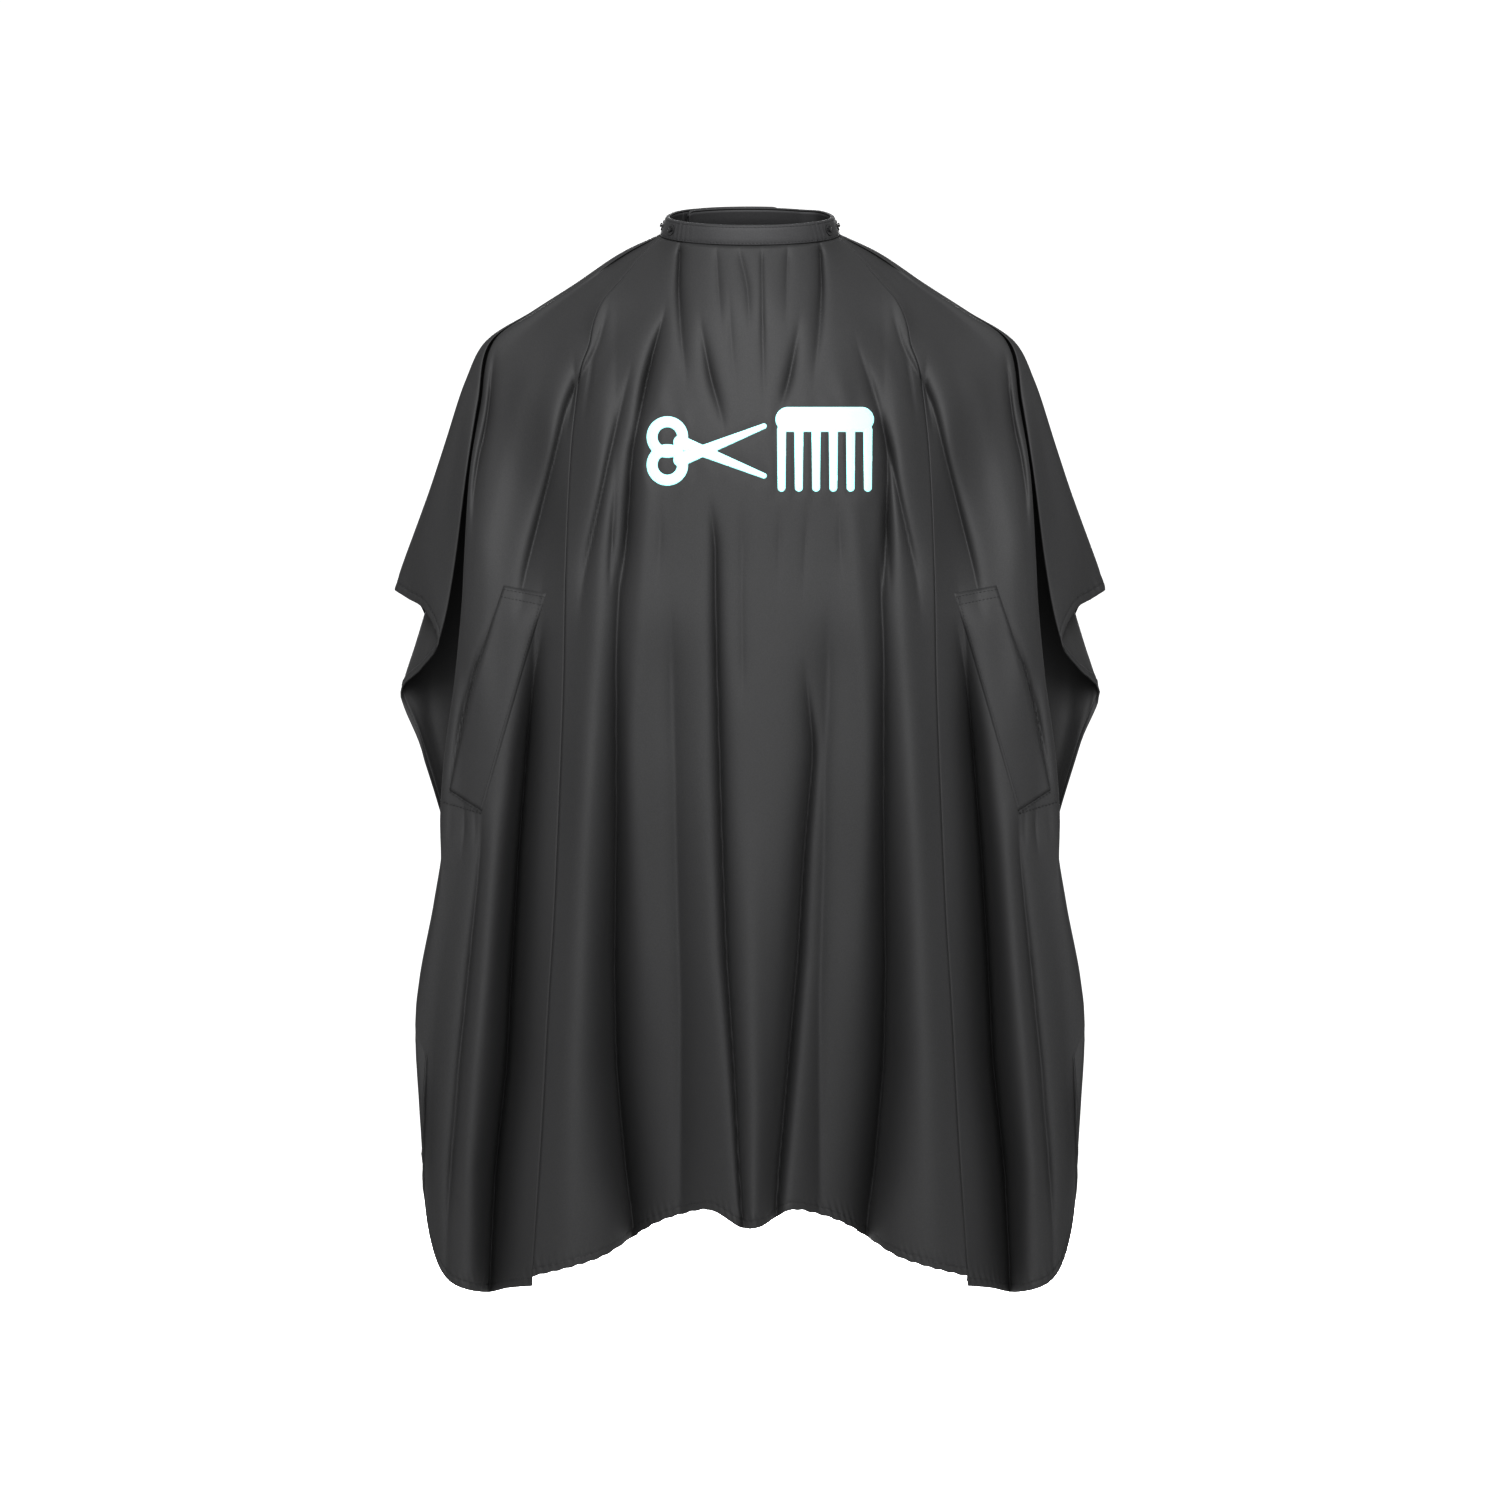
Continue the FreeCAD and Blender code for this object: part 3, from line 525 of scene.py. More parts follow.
def hem_relief(grid):
    """The sewn fold of a hem: a groove at its stitching, and puckers across it. Outward is positive."""
    distance = np.linalg.norm(np.diff(grid[::-1], axis=0, prepend=grid[-1:]), axis=-1)
    distance = np.cumsum(distance, axis=0)[::-1]
    along = along_columns(grid[-1])[None]
    slanted = along + 0.35 * distance
    waves = np.sin(slanted * 2 * math.pi / PUCKER_PITCH + 1.7 * np.sin(along / 31.0))
    waves = waves * (0.55 + 0.45 * np.sin(along / 23.0 + 1.0))
    groove = -0.4 * np.exp(-(((distance - HEM_DEPTH + 0.6) / 1.1) ** 2))
    edge = -0.3 * np.exp(-((distance / 0.8) ** 2))
    swell = HEM_PUCKER * waves * np.exp(-(((distance - 7.0) / 8.0) ** 2))
    return groove + edge + swell


def front_grid():
    """Rows by columns by 3, from the viewer's left seam to the right one."""
    left = [seam_track()]
    for angle, points in zip(FRONT_ANGLES, FRONT_TRACKS):
        left.append(track([under_band(angle)] + points, FRONT_LEVELS))
    right = left[:-1]
    knots = [on_side(line, -1) for line in left] + [line.copy() for line in reversed(right)]
    grid = np.swapaxes(between(np.array(knots), FRONT_COUNTS), 0, 1)
    near_hem = np.linspace(0, 1, len(grid))[:, None] ** 10
    bottom = grid[-1]
    hem = between(np.array(FRONT_HEM, float), [HEM_STEPS] * (len(FRONT_HEM) - 1))
    wanted = np.interp(np.abs(bottom[:, 0]), hem[:, 0], hem[:, 1])
    wanted = wanted + SCALLOP * np.sin(bottom[:, 0] / 1.9) * (np.abs(bottom[:, 0]) > 40)
    grid[..., 2] += (wanted - bottom[:, 2])[None] * near_hem
    fade = smooth_step(np.linspace(0, 1, len(grid))[:, None] / FADE_ROWS)
    depth = fold_depth(grid[..., 0], grid[..., 2]) * fade
    depth += seam_groove(grid, 0) + seam_groove(grid, -1) + stitched_pull(grid[..., 0], grid[..., 2])
    grid[..., 1] += depth
    grid += grid_normals(grid) * hem_relief(grid)[..., None]
    return grid


def side_grid(side):
    """From the seam, over the shoulder and round the arm, to the fold line of the back."""
    lines = [seam_track(SIDE_HEM_DROP)]
    for angle, points in SIDE_TRACKS:
        lines.append(track([under_band(angle)] + points, SIDE_LEVELS))
    grid = np.swapaxes(between(np.array(lines), SIDE_COUNTS), 0, 1)
    at_arm = len(FROM_SEAM) + sum(SIDE_COUNTS[1:4])
    columns = np.arange(grid.shape[1])
    share = 1 - smooth_step((columns - at_arm) / SIDE_COUNTS[4])
    fade = smooth_step(np.linspace(0, 1, len(grid))[:, None] / FADE_ROWS)
    depth = fold_depth(side * grid[..., 0], grid[..., 2]) * share[None] * fade
    grid[..., 1] += depth + seam_groove(grid, 0)
    grid[..., 0] *= side
    if side < 0:
        grid = grid[:, ::-1]
    grid = grid + grid_normals(grid) * hem_relief(grid)[..., None]
    return grid


BACK_LEVELS = (0, 0.09, 0.29, 0.616, 1)
BACK_TRACKS = [
    (-140.0, [(70, 78, -109), (86, 102, -250), (98, 117, -400), (113, 126, -583)]),
    (-148.0, [(56, 80, -106), (70, 101, -250), (80, 108, -400), (92, 115, -585)]),
    (-156.0, [(42, 84, -104), (53, 107, -250), (61, 120, -400), (70, 129, -583)]),
    (-164.0, [(28, 85, -102), (36, 105, -250), (42, 111, -400), (48, 118, -580)]),
    (-172.0, [(14, 87, -101), (18, 110, -250), (21, 122, -400), (24, 131, -577)]),
    (-180.0, [(0, 87, -100), (0, 107, -250), (0, 114, -400), (0, 122, -575)]),
    (-198.0, [(-28, 85, -102), (-30, 107, -250), (-32, 115, -400), (-34, 124, -575)]),
]
BACK_COUNTS = [9, 9, 9, 9, 9, 9, 12]
BACK_TUCK = 4.5


def back_grid(side):
    """One back half, from its seam to past the middle. The viewer's right-hand one is underneath."""
    angle, points = SIDE_TRACKS[-1]
    lines = [track([under_band(angle)] + points, SIDE_LEVELS)]
    for number, (angle, points) in enumerate(BACK_TRACKS):
        tuck = BACK_TUCK * (number > 0) if side > 0 else 0.0
        top = under_band(side * -angle, underlap=side > 0)
        if side > 0:
            top = (-top[0], top[1], top[2])
        lines.append(track([top] + [(x, y - tuck, z) for x, y, z in points], BACK_LEVELS))
    grid = np.swapaxes(between(np.array(lines), BACK_COUNTS), 0, 1)
    grid[..., 0] *= side
    if side > 0:
        grid = grid[:, ::-1]
    return grid + grid_normals(grid) * hem_relief(grid)[..., None]


def grid_normals(grid):
    """Outward normals of a grid: rows run down, and columns run to the right as seen from outside."""
    down = np.gradient(grid, axis=0)
    across = np.gradient(grid, axis=1)
    normal = np.cross(down, across)
    return normal / np.maximum(np.linalg.norm(normal, axis=-1, keepdims=True), 1e-12)


# ---- meshes ----


def add_mesh(name, points, faces, material):
    """A smooth piece from an array of points and a list of faces."""
    mesh = bpy.data.meshes.new(name)
    mesh.from_pydata(points.tolist(), [], faces)
    mesh.validate()
    mesh.shade_smooth()
    mesh.materials.append(material)
    piece = bpy.data.objects.new(name, mesh)
    bpy.context.collection.objects.link(piece)
    return piece


def grid_faces(rows, columns):
    index = np.arange(rows * columns).reshape(rows, columns)
    a, b = index[:-1, :-1], index[1:, :-1]
    c, d = index[1:, 1:], index[:-1, 1:]
    return np.stack([a, b, c, d], axis=-1).reshape(-1, 4)


def closed_mesh(name, outside, inside, quads, material):
    """A closed mesh between two faces, given as matching lists of points in metres."""
    total = len(outside)
    ahead = np.roll(quads, -1, axis=1)
    edges = np.stack([quads, ahead], axis=-1).reshape(-1, 2)
    keys = edges[:, 0] * total + edges[:, 1]
    turned = edges[:, 1] * total + edges[:, 0]
    border = edges[~np.isin(keys, turned)]
    rim = np.stack([border[:, 1], border[:, 0], border[:, 0] + total, border[:, 1] + total], axis=-1)
    faces = np.concatenate([quads, quads[:, ::-1] + total, rim])
    points = np.concatenate([outside, inside])
    used, renumbered = np.unique(faces, return_inverse=True)
    return add_mesh(name, points[used], renumbered.reshape(faces.shape).tolist(), material)


def cloth_piece(name, grid, material, thickness=0.5, hole=None):
    """A closed thin mesh that follows a grid in metres, with an optional hole in it."""
    normal = grid_normals(grid)
    half = thickness / 2000
    quads = grid_faces(*grid.shape[:2])
    if hole is not None:
        quads = quads[~hole.reshape(-1)]
    outside = (grid + normal * half).reshape(-1, 3)
    inside = (grid - normal * half).reshape(-1, 3)
    return closed_mesh(name, outside, inside, quads, material)


def tube(name, rings, material):
    """A closed mesh through rings of points, with flat ends."""
    rings = np.asarray(rings)
    index = np.arange(rings.shape[0] * rings.shape[1]).reshape(rings.shape[:2])
    following = np.roll(index, -1, axis=1)
    sides = np.stack([index[:-1], following[:-1], following[1:], index[1:]], axis=-1)
    faces = sides.reshape(-1, 4).tolist() + [index[0, ::-1].tolist(), index[-1].tolist()]
    return add_mesh(name, rings.reshape(-1, 3), faces, material)


def dress(piece, body, slot, *replaced):
    """The body that a piece rides on, the slot it is finished from (not used), and the nodes it stands for.

    Cloth of the opening back half stays sewn to the rest of the cape, so its transform is baked into its mesh
    instead of riding on a body.
    """
    if body == "back_left":
        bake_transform(piece)
    else:
        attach(piece, body)
    if replaced:
        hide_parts(*replaced)
    return piece


# ---- stitching ----

STITCH_PITCH = 0.0034
STITCH_SHARE = 0.72
STITCH_RADIUS = 0.00028


def stitch_points(line, normals, lift):
    """The places of stitches along a line in metres: centre, direction and outward normal of each."""
    along = along_columns(line)
    count = max(1, int(along[-1] / STITCH_PITCH))
    middles = (np.arange(count) + 0.5) * along[-1] / count
    centre = np.stack([np.interp(middles, along, line[:, k]) for k in range(3)], axis=-1)
    normal = np.stack([np.interp(middles, along, normals[:, k]) for k in range(3)], axis=-1)
    slope = np.stack([np.interp(middles, along, np.gradient(line[:, k], along)) for k in range(3)], axis=-1)
    slope /= np.linalg.norm(slope, axis=-1, keepdims=True)
    normal /= np.linalg.norm(normal, axis=-1, keepdims=True)
    return centre + normal * lift, slope, normal


def stitch_mesh(name, lines, material, lift=0.00032):
    """Short rounded stitches along lines, each given as (points, normals) in metres."""
    stations = np.array([-1.0, -0.75, 0.0, 0.75, 1.0])
    sizes = np.array([0.05, 0.75, 1.0, 0.75, 0.05])
    dips = np.array([-1.0, -0.2, 0.0, -0.2, -1.0])
    turns = np.arange(6) * math.pi / 3
    points, faces = [], []
    start = 0
    for line, normals in lines:
        centre, slope, normal = stitch_points(line, normals, lift)
        sideways = np.cross(slope, normal)
        half = STITCH_PITCH * STITCH_SHARE / 2
        rings = []
        for station, scale, dip in zip(stations, sizes, dips):
            middle = centre + slope * half * station + normal * dip * STITCH_RADIUS
            for turn in turns:
                across = sideways * math.cos(turn) + normal * math.sin(turn)
                rings.append(middle + across * STITCH_RADIUS * scale)
        block = np.stack(rings, axis=1)
        quads = []
        for ring in range(len(stations) - 1):
            for k in range(6):
                a, b = ring * 6 + k, ring * 6 + (k + 1) % 6
                quads.append([a, b, b + 6, a + 6])
        count = block.shape[1]
        offsets = start + np.arange(len(block))[:, None, None] * count
        faces.append((np.array(quads)[None] + offsets).reshape(-1, 4))
        ends = np.array([[5, 4, 3, 2], [5, 2, 1, 0], [24, 25, 26, 27], [24, 27, 28, 29]])
        faces.append((ends[None] + offsets).reshape(-1, 4))
        points.append(block.reshape(-1, 3))
        start += len(block) * count
    return add_mesh(name, np.concatenate(points), np.concatenate(faces).tolist(), material)


def row_near_hem(distance):
    """The row of every cloth grid that is this far above its hem."""
    return int(np.argmin(np.abs(HEM_DISTANCES - distance))) - HEM_ROWS


def hem_lines(grid):
    """The stitch line of a hem, in metres."""
    metres = hang(grid)
    row = row_near_hem(HEM_DEPTH - 0.4)
    return [(metres[row], grid_normals(metres)[row])]


def hem_fold(name, grid, body):
    """The strip of cloth that is turned up inside a hem."""
    metres = hang(grid)
    normal = grid_normals(metres)
    rows = slice(row_near_hem(HEM_DEPTH + 0.4), None)
    inner = metres[rows] - normal[rows] * 0.00062
    return dress(cloth_piece(name, inner, CLOTH, 0.45), body, "cape_cloth")


def seam_allowance(label, grid, side):
    """The strip of side panel that runs on behind the front panel, seen below its hem."""
    column = 0 if side < 0 else -1
    edge = grid[:, column]
    share = np.linspace(0, 1, 5)[None, :, None]
    inwards = np.array([-side * SEAM_ALLOWANCE, 1.5, 2.5])
    strip = edge[:, None] + share * inwards + np.array([0, 1.6, 0])
    strip = strip[:, ::-1] if side > 0 else strip
    piece = cloth_piece(f"side_panel_{label}_seam_allowance", hang(strip), CLOTH, 0.45)
    dress(piece, "cape", "cape_cloth")


# ---- places on the draped surface ----


IN_FRONT = -400.0


class Surface:
    """The outer face of a grid in the layout, met along the viewer's line of sight."""

    def __init__(self, grid):
        quads = grid_faces(*grid.shape[:2])
        self.tree = BVHTree.FromPolygons(grid.reshape(-1, 3).tolist(), quads.tolist())

    def depth(self, x, z):
        hit = self.tree.ray_cast(Vector((x, IN_FRONT, z)), Vector((0, 1, 0)))[0]
        return 0.0 if hit is None else hit.y

    def lay(self, flat, lift):
        """Points (x, z) laid on the surface, lifted towards the viewer by lift."""
        flat = np.asarray(flat, float)
        lift = np.broadcast_to(lift, flat.shape[:-1])
        depths = [self.depth(x, z) for x, z in flat.reshape(-1, 2)]
        y = np.array(depths).reshape(flat.shape[:-1]) - lift
        return np.stack([flat[..., 0], y, flat[..., 1]], axis=-1)


# ---- hand openings: (x, z) with x outwards ----

FLAP_INNER = [(193.5, -352), (212, -413), (233, -485), (254.6, -559)]
FLAP_OUTER = [(234, -344.7), (246.6, -383), (259, -421), (264.5, -438), (272.8, -478), (278, -503),
              (282, -522), (285.5, -539)]
SLIT_START, SLIT_END = 0.06, 0.93
FLAP_LIFT = (0.28, 1.5)
FACING_GAP = 0.6
FACING_WIDTH = 7.0
SLIT_WIDTH = 3.0
SLIT_INWARDS = 6.0
TACK_POINT = (255, -561)
TACK_STARTS = [(286, -540), (292, -550)]


def path_points(points, count):
    """Points at even steps along a smooth path in (x, z)."""
    dense = between(np.array(points, float), [12] * (len(points) - 1))
    along = along_columns(dense)
    wanted = np.linspace(0, along[-1], count)
    return np.stack([np.interp(wanted, along, dense[:, k]) for k in range(2)], axis=-1)


def flap_flat(side, rows=56, columns=15):
    """The flap in (x, z): rows from the top down, columns from the stitched edge to the open one."""
    inner = path_points(FLAP_INNER, rows)
    outer = path_points(FLAP_OUTER, rows)
    share = np.linspace(0, 1, columns)[None, :, None]
    flat = inner[:, None] * (1 - share) + outer[:, None] * share
    flat[..., 0] *= side
    return flat


def slit_path(side, inwards, count=60):
    """A line beside the slit, under the open edge of the flap."""
    outer = path_points(FLAP_OUTER, 200)
    inner = path_points(FLAP_INNER, 200)
    towards = inner - outer
    towards /= np.linalg.norm(towards, axis=-1, keepdims=True)
    line = outer + towards * inwards
    keep = np.linspace(SLIT_START * 199, SLIT_END * 199, count).astype(int)
    line = line[keep]
    line[:, 0] *= side
    return line


def slit_hole(grid, side):
    """The cells of a side grid that lie in the slit."""
    centre = (grid[:-1, :-1] + grid[1:, 1:]) / 2
    line = slit_path(side, SLIT_INWARDS, 200)
    gap = np.linalg.norm(centre[:, :, None, [0, 2]] - line[None, None, ::4], axis=-1).min(axis=-1)
    facing_viewer = grid_normals(grid)[:-1, :-1, 1] < -0.3
    in_front = centre[..., 1] < -50
    return (gap < SLIT_WIDTH / 2) & facing_viewer & in_front


def add_hand_opening(label, side, surface):
    """A flap that is sewn down along its inner and upper edges, over a faced slit."""
    flat = flap_flat(side)
    share = np.linspace(0, 1, flat.shape[1])[None] * np.ones((len(flat), 1))
    height = np.minimum(np.linspace(0, 1, len(flat)), np.linspace(1, 0, len(flat)) * 1.5)[:, None]
    rise = (FLAP_LIFT[1] - FLAP_LIFT[0]) * smooth_step(share) * np.minimum(1, 0.1 + 2 * height)
    grid = surface.lay(flat, FLAP_LIFT[0] + rise)
    if side < 0:
        grid = grid[:, ::-1]
    body = f"hand_flap_{label}"
    metres = hang(grid)
    dress(cloth_piece(f"{body}_cloth", metres, CLOTH, 0.35), body, "cape_cloth", body)
    normals = grid_normals(metres)
    stitched = -2 if side < 0 else 1
    edge = [(metres[1:-1, stitched], normals[1:-1, stitched])]
    top = [(metres[row], normals[row]) for row in (1, 3)]
    for place, lines in (("edge", edge), ("top", top)):
        stitches = stitch_mesh(f"{body}_{place}_stitching", lines, THREAD_DARK, 0.0003)
        dress(stitches, "cape", "cape_cloth")
    add_slit_facing(label, side, surface)
    add_slit_tack(label, side, surface)


def add_slit_facing(label, side, surface):
    """A faced edge all round the slit, which the flap hides."""
    loops = []
    for gap in (FACING_GAP, FACING_WIDTH):
        away = SLIT_WIDTH / 2 + gap
        near = slit_path(side, SLIT_INWARDS - away)
        far = slit_path(side, SLIT_INWARDS + away)
        loops.append(np.concatenate([near, far[::-1]]))
    share = np.linspace(0, 1, 5)[:, None, None]
    flat = loops[0][None] * (1 - share) + loops[1][None] * share
    flat = np.concatenate([flat, flat[:, :1]], axis=1)
    grid = surface.lay(flat, -0.75)
    if side > 0:
        grid = grid[:, ::-1]
    piece = cloth_piece(f"slit_facing_{label}_cloth", hang(grid), CLOTH, 0.4)
    dress(piece, "cape", "cape_cloth", f"slit_facing_{label}")


def add_slit_tack(label, side, surface):
    """The V of stitching that closes the slit's lower end."""
    lines = []
    share = np.linspace(0, 1, 14)[:, None]
    for start in TACK_STARTS:
        flat = np.array(start) * (1 - share) + np.array(TACK_POINT) * share
        flat[:, 0] *= side
        line = hang(surface.lay(flat, 1.2))
        lines.append((line, np.tile([0, -1.0, 0], (len(line), 1))))
    dress(stitch_mesh(f"slit_tack_{label}", lines, THREAD_DARK, 0.0), "cape", "cape_cloth")


# ---- neckband ----

# Each section is a closed outline of (height, depth behind the outer face).
BAND_SECTION_OUTER = [
    (-8.7, 0.25), (-7.6, 0.02), (-7.0, 0.22), (-6.4, 0.0), (-3, -0.1), (0, -0.12), (4, -0.1), (6.6, 0.0),
    (7.2, 0.2), (7.8, 0.02), (8.6, 0.2), (9.05, 0.8), (9.2, 1.9), (9.1, 3.0), (8.7, 3.8), (7.9, 3.95),
    (7.8, 3.0), (8.1, 2.0), (8.0, 1.2), (0, 1.03), (-8.2, 1.03), (-8.9, 0.8),
]
BAND_SECTION_FACING = [(-8.9, 3.1), (-8.9, 3.8), (-7.6, 4.0), (-7.0, 3.8), (-6.4, 4.0), (0, 4.1), (5, 4.0),
                       (7.4, 3.92), (7.5, 3.1), (5, 2.95), (0, 2.95), (-7, 2.95)]
TAB_SECTION_FACING = [(height, depth - 1.1) for height, depth in BAND_SECTION_FACING]
TAB_SECTION_OUTER = [(height, depth if depth < 1.1 else 1.1 + (depth - 1.1) * 0.6)
                     for height, depth in BAND_SECTION_OUTER]


ROUNDED_STEPS = 14
ROUNDED_POWER = 1.8
ROUNDED_REACH = 5.5


def band_wrinkles(angle, height):
    """Small upright wrinkles where the band bends round the sides of the neck. Outward is positive."""
    away = np.abs(np.where(angle > 180, angle - 360, angle))
    at_side = np.exp(-(((away - 54) / 9) ** 2))
    slow = 0.22 * np.sin(np.radians(angle * 9) + 1.3) * np.sin(np.radians(angle * 2.3))
    fine = 0.5 * at_side * np.sin(np.radians(angle * 85) + 0.7 * np.sin(height / 4.0))
    edge_fade = 1 - smooth_step((np.abs(height) - 7.0) / 2.5) * 0.7
    return (slow + fine) * edge_fade


def band_angles(start, end, rounded):
    """Angles along a length of the band, closer together at a rounded end."""
    steps = max(6, int(abs(end - start) / 1.2))
    angles = np.linspace(start, end, steps + 1)
    if rounded[1]:
        closer = (1 - np.linspace(0, 1, ROUNDED_STEPS)) ** ROUNDED_POWER
        angles = np.concatenate([angles[:-6], end - (end - angles[-6]) * closer])
    if rounded[0]:
        closer = np.linspace(0, 1, ROUNDED_STEPS) ** ROUNDED_POWER
        angles = np.concatenate([start + (angles[5] - start) * closer, angles[6:]])
    return angles


def end_squeeze(angle, start, end, rounded):
    """The share of its full height that the band has at an angle: less near a rounded end."""
    squeeze = 1.0
    for at_end, edge in zip(rounded, (start, end)):
        if at_end:
            gap = min(1.0, abs(angle - edge) / ROUNDED_REACH)
            squeeze = min(squeeze, 0.45 + 0.55 * math.sqrt(1 - (1 - gap) ** 2))
    return squeeze


def band_piece(name, start, end, section, underlap, rounded):
    """A length of the band with a given section, with square or rounded ends."""
    rings = []
    for angle in band_angles(start, end, rounded):
        heights = np.array([height for height, depth in section]) * end_squeeze(angle, start, end, rounded)
        depths = np.array([depth for height, depth in section])
        depths = depths - band_wrinkles(np.full(len(depths), angle), heights)
        rings.append(ring_point(np.full(len(depths), angle), heights, depths, underlap) / 1000)
    return tube(name, rings, BAND_CLOTH)


def band_stitches(name, start, end, underlap):
    """Stitch lines near the lower and upper edges of the outer face."""
    angles = np.linspace(start, end, max(8, int(abs(end - start))))
    lines = []
    for height in (-7.0, 7.2):
        heights = np.full(len(angles), height)
        depth = 0.12 - band_wrinkles(angles, heights)
        line = ring_point(angles, heights, depth, underlap) / 1000
        deeper = ring_point(angles, heights, depth + 1, underlap) / 1000
        lines.append((line, (line - deeper) * 1000))
    return stitch_mesh(name, lines, THREAD_DARK, 0.0001)


def add_neckband():
    spans = [
        ("neckband", -127.5, 229.8, True, "cape", (False, True)),
        ("neckband_left", 214.5, 232.2, False, "back_left", (False, False)),
        ("closure_tab", 160.0, 213.5, False, "closure_tab", (True, False)),
    ]
    for name, start, end, underlap, body, rounded in spans:
        is_tab = name == "closure_tab"
        outer_section = TAB_SECTION_OUTER if is_tab else BAND_SECTION_OUTER
        facing_section = TAB_SECTION_FACING if is_tab else BAND_SECTION_FACING
        inset = 3 if rounded != (False, False) else 0.5
        outer = band_piece(f"{name}_outer_cloth", start, end, outer_section, underlap, rounded)
        facing = band_piece(f"{name}_facing_cloth", start, end, facing_section, underlap, rounded)
        stitches = band_stitches(f"{name}_stitching", start + inset, end - inset, underlap)
        for piece, replaced in ((outer, [f"{name}_outer"]), (facing, [f"{name}_facing"]), (stitches, [])):
            dress(piece, body, "band_cloth", *replaced)


# ---- embroidery: a pair of scissors and a comb, in (x, z) of the layout ----

SCISSORS_PIVOT = (-44.0, -217.0)
SCISSORS_TURN = 21.0
SCISSORS_AREA = (-110, 24, -275, -160)
COMB_SPINE = (24.0, 118.0, -175.0, -199.0)
COMB_AREA = (18, 124, -264, -170)
COMB_TEETH = 6
COMB_TOOTH_WIDTH = 9.0
COMB_TOOTH_END = -252.0
EMBROIDERY_CELL = 0.55


def far_from_bar(x, z, start, end, radii):
    """Distance outside a tapered bar with round ends."""
    (x0, z0), (x1, z1) = start, end
    length = math.hypot(x1 - x0, z1 - z0)
    along = np.clip(((x - x0) * (x1 - x0) + (z - z0) * (z1 - z0)) / length**2, 0, 1)
    radius = radii[0] + (radii[1] - radii[0]) * along
    return np.hypot(x - x0 - along * (x1 - x0), z - z0 - along * (z1 - z0)) - radius


def scissors_distance(x, z):
    """Distance outside the scissors' outline; negative inside."""
    px, pz = SCISSORS_PIVOT
    parts = []
    for side in (-1, 1):
        turn = math.radians(SCISSORS_TURN * side)
        u = (x - px) * math.cos(turn) + (z - pz) * math.sin(turn)
        v = -(x - px) * math.sin(turn) + (z - pz) * math.cos(turn)
        blade = far_from_bar(u, v, (-24, 0), (62, side * 1.5), (6.6, 2.8))
        loop = np.abs(np.hypot(u + 37.0, v) - 14.5) - 5.4
        parts += [blade, loop]
    return np.minimum.reduce(parts)


def comb_distance(x, z):
    """Distance outside the comb's outline; negative inside."""
    left, right, top, bottom = COMB_SPINE
    middle_z, half = (top + bottom) / 2, (top - bottom) / 2
    parts = [far_from_bar(x, z, (left + half, middle_z), (right - half, middle_z), (half, half))]
    pitch = (right - left - COMB_TOOTH_WIDTH - 3) / (COMB_TEETH - 1)
    for number in range(COMB_TEETH):
        tooth = left + 1.5 + COMB_TOOTH_WIDTH / 2 + number * pitch
        radii = (COMB_TOOTH_WIDTH / 2, COMB_TOOTH_WIDTH / 2 - 0.6)
        parts.append(far_from_bar(x, z, (tooth, bottom + 2), (tooth, COMB_TOOTH_END), radii))
    return np.minimum.reduce(parts)


def embroidery_distance(x, z):
    """Distance outside all of the embroidery; far away it is only a large number."""
    near = (np.abs(x) < 160) & (z < -130) & (z > -310)
    distance = np.full_like(x, 100.0)
    distance[near] = np.minimum(scissors_distance(x[near], z[near]), comb_distance(x[near], z[near]))
    return distance


def stitched_pull(x, z):
    """How far the embroidery draws the cloth away from the viewer round its edges, with puckers."""
    outside = np.maximum(embroidery_distance(x, z), 0)
    waves = np.sin(x / 3.1 + np.sin(z / 9.0))
    puckers = 0.45 * waves * np.exp(-outside / 9.0) * smooth_step(outside / 3)
    return 0.7 * np.exp(-((outside / 2.6) ** 2)) + puckers


def add_embroidery_piece(name, distance, area, surface):
    """Raised satin stitch: closed, crowned across each stroke, with a sunk outline just inside its edge."""
    x0, x1, z0, z1 = area
    xs = np.arange(x0, x1, EMBROIDERY_CELL)
    zs = np.arange(z1, z0, -EMBROIDERY_CELL)
    x, z = np.meshgrid(xs, zs)
    inside = distance(x, z)
    centres = (inside[:-1, :-1] + inside[1:, :-1] + inside[1:, 1:] + inside[:-1, 1:]) / 4
    quads = grid_faces(*x.shape)[(centres < 0).reshape(-1)]
    used = np.unique(quads)
    step = 0.05
    flat_x, flat_z = x.reshape(-1)[used], z.reshape(-1)[used]
    gap = distance(flat_x, flat_z)
    slope_x = (distance(flat_x + step, flat_z) - distance(flat_x - step, flat_z)) / (2 * step)
    slope_z = (distance(flat_x, flat_z + step) - distance(flat_x, flat_z - step)) / (2 * step)
    move = np.where(gap > -EMBROIDERY_CELL * 0.6, gap, 0)
    flat_x, flat_z = flat_x - slope_x * move, flat_z - slope_z * move
    depth = np.maximum(-distance(flat_x, flat_z), 0)
    crown = 0.75 * np.sqrt(1 - (1 - np.minimum(depth / 2.4, 1)) ** 2)
    outline = 0.22 * np.exp(-(((depth - 1.9) / 0.45) ** 2))
    threads = 0.05 * np.sin((flat_x * 0.6 + flat_z) * 2 * math.pi / 1.6)
    lift = 0.35 + crown - outline + threads * smooth_step(depth / 2.4)
    flat = np.stack([flat_x, flat_z], axis=-1)
    laid = surface.lay(flat, 0.0)
    top = laid.copy()
    top[:, 1] -= lift
    bottom = laid.copy()
    bottom[:, 1] -= 0.1
    renumbered = np.searchsorted(used, quads)
    piece = closed_mesh(f"{name}_stitches", hang(top), hang(bottom), renumbered, THREAD_MINT)
    dress(piece, "cape", "thread", name)


# ---- materials ----


